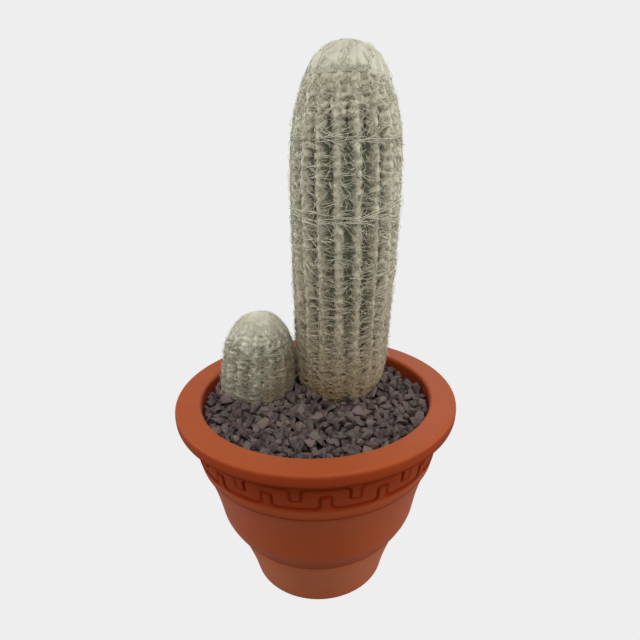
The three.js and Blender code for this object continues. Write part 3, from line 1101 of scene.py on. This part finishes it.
@dataclass
class Plant:
    """A ribbed, woolly cactus. A place on it is told by its run up the side, its turn and its depth."""

    name: str
    ribs: int
    turn: float  # of the first rib, in degrees
    twist: float  # of the ribs, in degrees a millimetre
    x: float
    y: float
    outline: list[Point]  # heights over the chippings, and radii
    lean: float  # to the right
    lean_over: float  # the height over which most of it comes
    furrow: float  # depth between the ribs
    wool: float  # thickness over a rib
    cap_from: float  # height of the cap's edge
    cap_slant: float  # how much lower its edge is on the right
    cap_ease: float  # share of the cap over which it grows to its thickness
    crowd_from: float  # the height where the wool starts to close over the furrows
    mat_to: float  # the height where the mat of wool at the foot ends
    root_depth: float
    old_to: float  # the height where no wool is old
    wear_and_side_shade: Point  # how old the foot is, and how much older on the right; on the offset this right side is partly real browning and partly painted shade from the column beside it
    full_sides_and_painted_light: Point  # how full the wool is on the right and on the left, and how much painted light makes it paler there
    closed: float  # how much the wool closes over the furrows all over
    coat: Coat
    seed: int
    ground: float = 142.0
    grown: float = 100.0  # the height under which a plant is young
    skirt: float = -3.0  # the run where the felt and the ribbed flesh begin
    taper: tuple[Point, ...] = ((0.16, 1.0), (0.56, 0.58), (0.93, 0.2))  # shares of radius and depth
    deepen: Point = (-5.0, 45.0)  # heights over which the furrows grow to their depth
    deepest: float = 0.24  # of a furrow, against the radius
    flanks: Point = (0.5, 0.95)  # how far to a side, from none to all of its fullness
    rib_columns: int = 12  # points across a rib of the flesh
    flesh_step: float = 1.8
    felt_across: tuple[int, int] = (11, 5)  # points over a strip of felt, and under it
    felt_step: float = 1.15
    cap_columns: int = 150  # points round the cap's mesh
    cap_rows: int = 26
    hair_step: float = 3.5
    patch: float = 3.5  # size of the places where the wool closes over the furrows
    ragged: float = 2.4  # size of the waves in the felt's edges
    lump: float = 1.7  # size of the felt's lumps
    blot: float = 4.0  # size of its pale and dull spots
    comb: float = 2.0  # width of the cap's combed furrows
    hem: float = 9.0  # size of the waves in the cap's edge
    uneven: Point = (0.75, 1.25)  # spread of the hairs' thickness
    spine_length: Point = (4.0, 6.5)
    spine_thickness: Point = (0.4, 0.6)
    side: Array = field(init=False)
    foot: float = field(init=False)
    beats: Array = field(init=False)
    draw: Draw = field(init=False)

    def __post_init__(self) -> None:
        """Works out the side, as run, height, radius and outward direction, and each rib's first areole."""
        line = np.array(spline(self.outline, 8))
        step = np.gradient(line, axis=0)
        step /= np.linalg.norm(step, axis=1, keepdims=True)
        run = np.concatenate([[0], np.cumsum(np.linalg.norm(np.diff(line, axis=0), axis=1))]) + line[0, 0]
        self.side = np.stack([run, line[:, 0], line[:, 1], -step[:, 1], step[:, 0]])
        self.foot = float(np.interp(0, line[:, 0], line[:, 1]))
        self.beats = np.random.default_rng(self.seed).uniform(-0.3, 0.3, self.ribs)
        self.draw = np.random.default_rng(self.seed)

    # Places and measures

    @property
    def top_run(self) -> float:
        """The run at the tip."""
        return float(self.side[0, -1])

    def run_at(self, height: float) -> float:
        """The run at a height over the chippings."""
        return float(np.interp(height, self.side[1], self.side[0]))

    def height_at(self, run: Array) -> Array:
        """The heights over the chippings of some runs."""
        return np.interp(run, self.side[0], self.side[1])

    def radius_at(self, run: Array) -> Array:
        """The radius over the wool at some runs."""
        return np.interp(run, self.side[0], self.side[2])

    def spot(self, run: Array, turn: Array, sunk: Array) -> Array:
        """Places on the plant, in millimetres.

        Args:
            run: up the side.
            turn: about the axis, in radians.
            sunk: how far under the wool's outline.

        Returns:
            The points, in a last axis of 3.
        """
        height, radius, up, out = (np.interp(run, self.side[0], row) for row in self.side[1:])
        radius, height = np.maximum(radius - sunk * out, 0.02), height - sunk * up
        lean = self.lean * (1 - np.exp(-np.maximum(height, 0) / self.lean_over))
        x, y = self.x + lean + radius * np.cos(turn), self.y + radius * np.sin(turn)
        return np.stack(np.broadcast_arrays(x, y, self.ground + height), -1)

    def noise(self, run: Array, turn: Array, scale: float, extra: int) -> Array:
        """A soft noise at some places, whose seed is the plant's and an extra."""
        place = self.spot(run, turn, 0.0)
        return soft_noise(place.reshape(-1, 3), scale, self.seed + extra).reshape(place.shape[:-1])

    def rib_turn(self, run: Array) -> Array:
        """The turn of the first rib at some runs, in radians."""
        return np.radians(self.turn + self.twist * self.height_at(run))

    def off_crest(self, run: Array, turn: Array) -> Array:
        """How far off a rib's crest places are: 0 on one, 1 in the furrow between two."""
        pitch = FULL_TURN / self.ribs
        return np.abs((turn - self.rib_turn(run) + pitch / 2) % pitch - pitch / 2) / (pitch / 2)

    def skin(self, run: Array, turn: Array) -> Array:
        """How deep the flesh lies: furrows are shallower at the foot, and at most a share of the radius.

        Args:
            run: up the side.
            turn: about the axis.

        Returns:
            A depth under the wool's outline for each place.
        """
        full = self.furrow * (0.45 + 0.55 * smooth_step(self.height_at(run), *self.deepen))
        furrow = smooth_step(self.off_crest(run, turn), 0.1, 1.02)
        return self.wool + np.minimum(full, self.deepest * self.radius_at(run)) * furrow

    def fullness_and_painted_light(self, turn: Array) -> Array:
        """How much fuller the wool is on the right and on the left, 0 to 1, and how much painted light makes
        it paler there.
        """
        right, left = (smooth_step(side * np.cos(turn), *self.flanks) for side in (1, -1))
        return self.full_sides_and_painted_light[0] * right + self.full_sides_and_painted_light[1] * left

    def crowd(self, run: Array, turn: Array) -> Array:
        """How much the wool closes over the furrows: at the top, the foot and the full sides, and in patches.

        Args:
            run: up the side.
            turn: about the axis.

        Returns:
            A share for each place, 0 to 1.
        """
        height = self.height_at(run)
        new = smooth_step(height, self.crowd_from, self.cap_from - 12)
        mat = 0.95 * (1 - smooth_step(height, 0.1 * self.mat_to, self.mat_to))
        patches = self.closed * (1 + 1.1 * self.noise(run, turn, self.patch, 3))
        return np.clip(np.maximum.reduce([new, mat, patches, 0.6 * self.fullness_and_painted_light(turn)]), 0, 1)

    def newness(self, run: Array) -> Array:
        """How new and pale the wool is at some runs: 1 at the cap."""
        return smooth_step(self.height_at(run), 0.6 * self.crowd_from + 0.4 * self.cap_from, self.cap_from)

    def paleness(self, run: Array, turn: Array) -> Array:
        """What the wool's tone gains at some places: paler when new, and with painted light at the full
        sides.
        """
        new = self.newness(run)
        # the last term is painted light, which makes the flanks paler
        return self.coat.new_tone * new - self.coat.dim * (1 - new) + 0.43 * self.fullness_and_painted_light(turn)

    def age(self, run: Array, turn: Array) -> Array:
        """How old and brown the plant is at some places, 0 to 1: most at the foot; the share added on the
        right is partly painted shade.
        """
        wear_and_side_shade = self.wear_and_side_shade[0] + self.wear_and_side_shade[1] * (0.5 + 0.5 * np.cos(turn + 0.35)) ** 5
        return np.clip(wear_and_side_shade * (1 - np.clip(self.height_at(run) / self.old_to, 0, 1)) ** 3, 0, 1)

    def areoles(self, low: float, high: float) -> tuple[Array, Array]:
        """Finds the areoles of all ribs.

        Args:
            low: the least run.
            high: the greatest run.

        Returns:
            Their runs and their turns.
        """
        pitch = self.coat.areole_pitch
        runs, ribs = [], []
        for rib, beat in enumerate(self.beats):
            run = np.arange((math.ceil(low / pitch - beat) + beat) * pitch, high, pitch)
            runs.append(run)
            ribs.append(np.full(len(run), rib))
        run = np.concatenate(runs)
        return run, self.rib_turn(run) + np.concatenate(ribs) * FULL_TURN / self.ribs

    # Solid parts

    def flesh(self) -> Piece:
        """Makes the ribbed flesh, down to the taper in the potting mix.

        Returns:
            The piece.
        """
        columns = self.ribs * self.rib_columns
        bare = self.foot - self.wool
        low = -self.root_depth
        taper = [*((bare * wide, low * deep) for wide, deep in self.taper), (bare - 0.6, -5.0)]
        radius, height = (np.array(column)[:, None] for column in zip(*taper))
        buried = rings(radius, self.ground + height, columns) + (self.x, self.y, 0)
        runs = np.arange(self.skirt, self.top_run - 0.6, self.flesh_step)
        run = np.broadcast_to(runs[:, None], (len(runs), columns))
        turn = turns(columns) + self.rib_turn(run)
        sunk = self.skin(run, turn)
        poles = [(self.x, self.y, self.ground + low), self.spot(self.top_run, 0.0, self.wool)]
        points = np.concatenate([buried, self.spot(run, turn, sunk).reshape(-1, 3), poles])
        rows = len(taper) + len(runs)
        pole = rows * columns
        under = fan(pole, 0, columns, rising=False)
        over = fan(pole + 1, pole - columns, columns, rising=True)
        # the furrows' depth, by which the finish paints shade in them
        depth = np.concatenate([np.zeros(len(buried)), (sunk - self.wool).ravel() / self.furrow, [0, 0]])
        age = np.concatenate([np.ones(len(buried)), self.age(run, turn).ravel(), [1, 0]])
        faces = [ring_faces(rows, columns), under, over]
        return make_piece(f"{self.name}_flesh", points, faces, Skin.SMOOTH, depth=depth, age=age)

    def felt(self) -> Piece:
        """Makes the wool along each crest: lumpy, wide at the areoles, closed up at the top and the foot.

        Returns:
            The piece.
        """
        outer, inner = self.felt_across
        runs = np.arange(self.skirt, self.run_at(self.cap_from) + 5, self.felt_step)
        share = np.concatenate([np.linspace(-1, 1, outer), np.linspace(0.7, -0.7, inner)])
        run = np.broadcast_to(runs[:, None], (len(runs), len(share)))
        half = FULL_TURN / self.ribs / 2
        end = np.arange(len(share))[None]
        points, faces, tone, age = [], [], [], []
        for rib, first_beat in enumerate(self.beats):
            middle = self.rib_turn(run) + rib * FULL_TURN / self.ribs
            beat = np.cos(FULL_TURN * (run / self.coat.areole_pitch - first_beat))
            crowd = self.crowd(run, middle)
            rough = self.noise(run, middle + np.sign(share) * half, self.ragged, 2)
            width = self.coat.felt_width + self.coat.felt_beat * beat + 0.26 * rough
            turn = middle + share * half * (width + (1.1 - width) * crowd)
            lumps = self.noise(run, turn, self.lump, 0)
            blots = self.noise(run, turn, self.blot, 1)
            flat = self.skin(run, turn)
            dome = np.maximum(1 - share**2, 0) ** (0.5 - 0.38 * crowd)
            swell = dome * (self.wool * (0.88 + 0.12 * beat) + 0.6 * lumps)
            filled = np.minimum(self.wool + 0.7 - swell * 0.7, flat + 0.15 - swell)
            sunk = flat + 0.15 - swell + (filled - flat - 0.15 + swell) * crowd
            hole = smooth_step(0.55 * np.abs(share) - 0.3 * beat - 0.75 * lumps - 0.3 * blots, 0.62, 0.85)
            hole *= crowd * (1 - self.newness(run))
            top = np.arange(len(share)) < outer
            sunk = np.where(top, sunk + (flat + 0.4 - sunk) * hole, flat + 1.0)
            points.append(self.spot(run, turn, sunk).reshape(-1, 3))
            first = rib * run.size
            faces.append(ring_faces(len(runs), len(share)) + first)
            faces += [end[:, ::-1] + first, end + first + run.size - len(share)]
            edge = 0.35 * np.abs(share) * (1 - crowd)
            # painted shade: the tone is darker in the felt's holes
            pale = 0.5 + 0.12 * beat + 0.45 * lumps + 0.3 * blots - edge - 0.5 * hole
            tone.append(np.clip(pale + self.paleness(run, middle), 0, 1).ravel())
            age.append(self.age(run, turn).ravel())
        layers = {"tone": np.concatenate(tone), "age": np.concatenate(age)}
        return make_piece(f"{self.name}_felt", np.concatenate(points), faces, Skin.SMOOTH, **layers)

    def cap(self) -> Piece:
        """Makes the dense cap of new wool over the tip, with combed furrows down it.

        Returns:
            The piece.
        """
        columns, rows = self.cap_columns, self.cap_rows
        low = self.run_at(self.cap_from)
        steps = np.linspace(0, 1, rows)[:, None]
        turn = np.broadcast_to(turns(columns), (rows, columns))
        ends = rings(np.ones((1, 1)), np.zeros((1, 1)), columns) * 20
        slant = self.cap_slant * smooth_step(np.cos(turn[0]), 0.3, 1)
        ragged = low + 1.3 * soft_noise(ends, self.hem, self.seed) - slant
        run = ragged + (self.top_run - 0.4 - ragged) * steps
        place = self.spot(run, turn, 0.0) * (1, 1, 0.15)
        comb = soft_noise(place.reshape(-1, 3), self.comb, self.seed + 1).reshape(run.shape)
        thin = 0.5 * self.wool * (1 - smooth_step(steps, 0, self.cap_ease))
        outer = self.spot(run, turn, thin - 0.1 + 0.14 * comb * (1 - steps**3))
        deep = self.wool + 0.2
        inner = self.spot(run[::-1], turn, deep)
        tips = [self.spot(self.top_run, 0.0, sunk) for sunk in (-0.1, deep)]
        points = np.concatenate([outer.reshape(-1, 3), inner.reshape(-1, 3), tips])
        size = run.size
        here, after = around(columns)
        rim = 2 * size - columns
        faces = [
            ring_faces(rows, columns),
            ring_faces(rows, columns) + size,
            np.column_stack([rim + here, rim + after, after, here]),
            fan(2 * size, size - columns, columns, rising=True),
            fan(2 * size + 1, size, columns, rising=False),
        ]
        # painted shade: darker in the combed furrows; the tone is also lower towards the tip
        tone = np.clip(0.84 - 0.1 * steps - 0.3 * comb * (1 - steps**2), 0, 1).ravel()
        layers = {"tone": np.concatenate([tone, tone, [0.6, 0.6]]), "age": np.zeros(len(points))}
        return make_piece(f"{self.name}_cap", points, faces, Skin.SMOOTH, **layers)

    # Hairs

    def strew(
        self,
        tresses: Tresses,
        hair: Hair,
        run: Array,
        turn: Array,
        heading: Array,
        arch: Array | float = 0.0,
        pale: Array | None = None,
    ) -> None:
        """Adds hairs of one kind, which creep over the plant.

        Args:
            tresses: to add to.
            hair: their kind.
            run: of their roots.
            turn: of their roots.
            heading: from straight up towards greater turns, in radians.
            arch: what their curl has in common.
            pale: tones to keep near, in place of the kind's own.
        """
        draw, count = self.draw, len(run)
        curl = arch + draw.normal(0, hair.bend, count)
        rules = (hair.length, hair.dips, hair.root, hair.lift)
        length, dips, root, lift = (rule(draw, count) for rule in rules)
        thickness = hair.thickness * draw.uniform(*self.uneven, count) * self.coat.thickness
        tone = draw.beta(*hair.tone, count)
        age = self.age(run, turn) * draw.uniform(0.6, 1, count)
        if pale is not None:
            tone = np.clip(pale + draw.normal(0, 0.12, count), 0, 1)
        tone = np.clip(tone + self.paleness(run, turn), 0, 1)
        steps = max(4, math.ceil(float(length.max()) / self.hair_step))
        stride = length / (steps - 1)
        path = []
        for share in np.arange(steps) / (steps - 1):
            furrow = dips * (self.skin(run, turn) - self.wool) * (1 - 0.8 * self.crowd(run, turn))
            sunk = furrow + root - lift * math.sin(math.pi * (0.1 + 0.75 * share))
            path.append(self.spot(run, turn, sunk))
            bearing = heading + curl * share
            run = run + stride * np.cos(bearing)
            turn = turn + stride * np.sin(bearing) / np.maximum(self.radius_at(run), 3.0)
            run = np.minimum(run, self.top_run - 1)
        tresses.add(np.stack(path, 1), thickness, tone, age)

    def locks(self, tresses: Tresses, low: float, high: float) -> None:
        """Adds the curly hairs of each areole: some lie along the rib, the others spill into the furrows.

        Args:
            tresses: to add to.
            low: the least run of an areole.
            high: the greatest.
        """
        draw = self.draw
        for many, lean, sway, dips in (
            (self.coat.locks, 0.0, 0.55, evenly(0.1, 0.6)),
            (self.coat.strands, math.pi / 2, 0.6, evenly(0.4, 1.0)),
        ):
            run, turn = np.repeat(self.areoles(low, high), many, axis=1)
            count = len(run)
            run += draw.normal(0, 0.3 * self.coat.areole_pitch, count)
            turn += draw.normal(0, 1.5, count) / self.radius_at(run)
            heading = draw.normal(lean, sway, count) * draw.choice((-1.0, 1.0), count)
            heading += np.where(lean == 0, math.pi * draw.integers(0, 2, count), 0.0)
            hair = replace(LOCK, length=evenly(*self.coat.lock_length), dips=dips)
            self.strew(tresses, hair, run, turn, heading)

    def crossings(self, tresses: Tresses) -> None:
        """Adds the locks that cross the furrows from each areole to the next rib.

        Args:
            tresses: to add to.
        """
        draw = self.draw
        run, turn = np.tile(self.areoles(0.0, self.run_at(self.cap_from) - 3), 2)
        side = np.repeat((-1.0, 1.0), len(run) // 2)
        chosen = draw.random(len(run)) < self.coat.crossing_share * (1.5 - run / self.top_run)
        run, turn, side = run[chosen], turn[chosen], side[chosen]
        locks = len(run)
        tilt = draw.normal(0, 0.35, locks) * np.where(run < self.mat_to, 0.5, 1.0)
        sag, pale = draw.uniform(0.1, 0.65, locks), draw.beta(2, 2, locks)
        reach = FULL_TURN / self.ribs * self.radius_at(run) * draw.uniform(0.6, 1.2, locks)
        shared = (run, turn, side, tilt, sag, pale, reach)
        run, turn, side, tilt, sag, pale, reach = np.repeat(shared, self.coat.crossings, axis=1)
        count = len(run)
        run += draw.normal(0, 0.7, count)
        heading = side * (math.pi / 2 + tilt + draw.normal(0, 0.17, count))
        hair = replace(
            CROSSING,
            length=lambda draw, count: reach * draw.uniform(0.8, 1.1, count),
            dips=lambda draw, count: np.clip(sag + draw.normal(0, 0.08, count), 0, 1),
        )
        self.strew(tresses, hair, run, turn + side * 1.5 / self.radius_at(run), heading, pale=pale)

    def web(self, tresses: Tresses) -> None:
        """Adds the fine hairs that wander over the plant or lie in the furrows, the fuzz and the wisps.

        Args:
            tresses: to add to.
        """
        draw, count = self.draw, self.coat.web
        run = draw.uniform(-1, self.top_run - 10, count)
        run[: count // 2] = draw.uniform(-2, self.mat_to, count // 2)
        turn = draw.uniform(0, FULL_TURN, count)
        brushed = draw.normal(math.pi / 2, 0.35, count)
        heading = np.where(run < self.mat_to, brushed, draw.uniform(0, math.pi, count))
        heading *= draw.choice((-1.0, 1.0), count)
        self.strew(tresses, WANDERER, run, turn, heading)

        count = self.coat.floor
        run = draw.uniform(2, self.run_at(self.cap_from) - 10, count)
        furrow = draw.integers(0, self.ribs, count) + 0.5
        turn = self.rib_turn(run) + (furrow + draw.normal(0, 0.12, count)) * FULL_TURN / self.ribs
        self.strew(tresses, SUNKEN, run, turn, draw.uniform(-math.pi, math.pi, count))

        count = self.coat.fuzz
        run = draw.uniform(4, self.top_run - 14, count)
        turn = draw.uniform(0, FULL_TURN, count)
        self.strew(tresses, FUZZ, run, turn, draw.uniform(-math.pi, math.pi, count))

        for height, wisps in self.coat.bands:
            turn, lift = draw.uniform(0, FULL_TURN, wisps), draw.normal(0, 1.2, wisps)
            wisp = (turn, lift, draw.normal(0, 0.35, wisps))
            turn, lift, arch = np.repeat(wisp, WISP_HAIRS, axis=1)
            count = len(turn)
            run = self.run_at(height) + lift + draw.normal(0, 0.6, count)
            turn += draw.normal(0, 0.35, count)
            heading = math.pi / 2 - arch / 2 + draw.normal(0, 0.1, count)
            self.strew(tresses, WISP, run, turn, heading, arch)

    def cap_hair(self, tresses: Tresses) -> None:
        """Adds the hairs combed down the cap.

        Args:
            tresses: to add to.
        """
        draw, count = self.draw, self.coat.cap_hairs
        low = self.run_at(self.cap_from)
        run = self.top_run - 1.5 - (self.top_run - low - 3) * np.sqrt(draw.uniform(0, 1, count))
        turn = draw.uniform(0, FULL_TURN, count)
        length = np.minimum(draw.uniform(5, 11, count), run - low + draw.normal(0.3, 1.0, count))
        hair = replace(COMBED, length=always(np.maximum(length, 2.0)))
        self.strew(tresses, hair, run, turn, draw.normal(math.pi, 0.22, count))

    def spines(self, tresses: Tresses) -> None:
        """Adds the thin straw-coloured spines, a few of which stand out past the wool.

        Args:
            tresses: to add to.
        """
        draw = self.draw
        run, turn = self.areoles(5.0, self.run_at(self.cap_from - 5))
        chosen = draw.random(len(run)) < self.coat.spine_share
        run, turn = run[chosen], turn[chosen]
        count = len(run)
        surface = self.spot(run, turn, 0.0)
        root = self.spot(run, turn, self.wool * 0.8)
        out = self.spot(run, turn, -1.0) - surface
        up = self.spot(run + 1, turn, 0.0) - surface
        spread = draw.normal(0, 1.0, (2, count, 1))
        way = out * draw.uniform(0.15, 0.7, (count, 1)) + up * (spread[0] * 0.7 - 0.25)
        way += np.cross(up, out) * spread[1]
        way /= np.linalg.norm(way, axis=1, keepdims=True)
        way *= draw.uniform(*self.spine_length, (count, 1))
        lines = np.stack([root, root + way * 0.5, root + way], 1)
        thickness, tone = draw.uniform(*self.spine_thickness, count), draw.beta(2, 1.5, count)
        tresses.add(lines, thickness, tone, self.age(run, turn))

    def build(self, kit: Kit) -> None:
        """Grows the whole plant.

        Args:
            kit: the finishes.
        """
        wool, cap_low = f"{self.name}_wool", self.run_at(self.cap_from)
        young = self.height_at(self.top_run) < self.grown
        kinds = (Wool.YOUNG,) * 3 if young else (Wool.FELT, Wool.CAP, Wool.HAIR)
        felt, cap, hair = (kit.fleece[kind] for kind in kinds)
        dress(self.flesh(), kit.flesh, "flesh", f"{self.name}_stem")
        dress(self.felt(), felt, "wool", wool)
        dress(self.cap(), cap, "wool", wool)
        spans = [("lower", 0.5, cap_low / 2), ("upper", cap_low / 2, cap_low - 3)]
        if young:
            spans = [("all", 0.5, self.top_run - 6)]
        for label, grow, finish in (
            *((f"locks_{part}", partial(self.locks, low=low, high=high), hair) for part, low, high in spans),
            ("crossings", self.crossings, hair),
            ("web", self.web, hair),
            ("cap_hair", self.cap_hair, cap),
            ("spines", self.spines, kit.fleece[Wool.SPINE]),
        ):
            tresses = Tresses()
            grow(tresses)
            dress(tresses.build(f"{self.name}_{label}"), finish, "wool", wool)


COLUMN = Plant(
    name="column", ribs=18, turn=4.7, twist=-0.04, x=18.8, y=27.1,
    outline=[
        (-8, 30.0), (0, 30.7), (10, 32.9), (20, 34.2), (44, 35.1), (69, 36.0), (83, 36.8), (108, 37.4),
        (132, 37.9), (145, 38.2), (162, 37.8), (174.5, 37.2), (184, 36.3), (194, 34.6), (204, 32.1),
        (213.7, 28.7), (221.5, 25.3), (228.4, 20.8), (233.3, 15.2), (236.5, 9.0), (237.9, 3.9), (238.2, 0.0),
    ],
    lean=7.4, lean_over=127, furrow=5.1, wool=2.2, cap_from=218.8, cap_slant=6.0, cap_ease=0.14,
    crowd_from=172, mat_to=72, root_depth=62, old_to=190, wear_and_side_shade=(1.08, -0.12), full_sides_and_painted_light=(1.2, 0.7),
    closed=0.0,
    coat=Coat(
        areole_pitch=5.9, locks=7, lock_length=(3.5, 7.0), strands=6, crossings=3, crossing_share=0.45,
        web=1900, floor=1300, fuzz=2000, cap_hairs=1400, spine_share=0.6, felt_width=0.57, felt_beat=0.1,
        bands=[(180.0, 11), (134.0, 10), (129.0, 8), (94.0, 4)], new_tone=-0.12,
    ),
    seed=3,
)
OFFSET = Plant(
    name="offset", ribs=15, turn=4.0, twist=0.0, x=-43.9, y=23.0,
    outline=[
        (-8, 26.8), (0, 28.2), (4, 28.5), (10.7, 28.5), (17.5, 28.1), (24, 27.4), (31, 26.2),
        (37, 24.5), (40.6, 23.1), (43.8, 21.5), (47, 19.5), (50.2, 17.0), (53.4, 13.8), (56.3, 9.8),
        (58.2, 5.0), (58.8, 0.0),
    ],
    lean=4.6, lean_over=40, furrow=3.0, wool=1.8, cap_from=48.0, cap_slant=0.0, cap_ease=1.0,
    crowd_from=24, mat_to=12, root_depth=40, old_to=90, wear_and_side_shade=(0.38, 1.75), full_sides_and_painted_light=(0.0, 0.25),
    closed=0.6,
    coat=Coat(
        areole_pitch=4.4, locks=5, lock_length=(3.0, 6.5), strands=5, crossings=3, crossing_share=0.5,
        web=900, floor=400, fuzz=900, cap_hairs=900, spine_share=0.3, felt_width=0.84, felt_beat=0.1,
        bands=[(33.0, 3), (20.0, 2)], new_tone=0.3, dim=0.18, thickness=0.34,
    ),
    seed=8,
)


# The set


@dataclass
class Stage:
    """The pale surroundings, the lights and the camera. Places are in metres."""

    pale: Colour = tint(238, 238, 238)
    sky_glow: float = 0.3
    floor_glow: float = 0.33
    aim: Place = (0, 0, 0.18)
    eye: Place = (0.0, -0.36274, 0.34118)
    tilt: Place = (69.076, 1.060, -1.086)  # in degrees
    lens: float = 31.5
    sensor: float = 36.0
    nearest: float = 0.02

    def build(self) -> None:
        """Sets the stage."""
        self._floor()
        self._sky()
        self._lamp("front", (0.05, -0.75, 1.25), 0.8, 9.0)
        self._lamp("right", (1.2, -0.15, 0.24), 0.9, 9.7)
        self._lamp("left", (-1.2, 0.0, 0.4), 0.9, 7.3)
        self._lamp("back", (0.2, 1.2, 0.85), 0.9, 5.5)
        self._camera()

    def _floor(self) -> None:
        """Lays a pale floor that shows as the same plain tone as the surroundings."""
        floor = make_piece("stage_floor", *disc(3000, -12.0, -0.2, 96), Skin.FLAT)
        material, board, shader = new_material("pale_floor")
        glow = {"Emission Color": self.pale, "Emission Strength": board.glow(self.floor_glow)}
        board.feed(shader, {"Base Color": (0, 0, 0), "Specular IOR Level": 0.0, **glow})
        floor.data.materials.append(material)

    def _sky(self) -> None:
        """Makes the surroundings: a plain tone to the eye, and a soft light from all around."""
        world = bpy.data.worlds.new("pale_surround")
        world.use_nodes = True
        board = Board(world.node_tree)
        background = next(node for node in board.tree.nodes if node.type == "BACKGROUND")
        board.feed(background, {"Color": self.pale, "Strength": board.glow(self.sky_glow)})
        bpy.context.scene.world = world

    def _lamp(self, name: str, place: Place, size: float, power: float) -> None:
        """Adds a large soft lamp that faces the pot.

        Args:
            name: of the lamp.
            place: of its middle.
            size: of its side.
            power: in watts.
        """
        lamp = bpy.data.lights.new(name, "AREA")
        lamp.size, lamp.energy = size, power
        item = bpy.data.objects.new(name, lamp)
        item.location = place
        item.rotation_euler = (Vector(self.aim) - Vector(place)).to_track_quat("-Z", "Y").to_euler()
        bpy.context.scene.collection.objects.link(item)

    def _camera(self) -> None:
        """Adds the camera, above the front of the pot."""
        camera = bpy.data.objects.new("camera", bpy.data.cameras.new("camera"))
        camera.data.lens = self.lens
        camera.data.sensor_width = self.sensor
        camera.data.clip_start = self.nearest
        camera.location = self.eye
        camera.rotation_euler = [math.radians(turn) for turn in self.tilt]
        bpy.context.scene.collection.objects.link(camera)
        bpy.context.scene.camera = camera
        bpy.context.scene.view_settings.view_transform = "Standard"


def main() -> None:
    """Builds the potted espostoa and its stage."""
    logging.basicConfig(level=logging.INFO, format="%(message)s")
    kit = Kit()
    plants = [COLUMN, OFFSET]
    Pot().build(kit)
    PottingMix().build(kit)
    Chippings().build(kit, plants)
    for plant in plants:
        plant.build(kit)
    Stage().build()


if __name__ == "__main__":
    main()
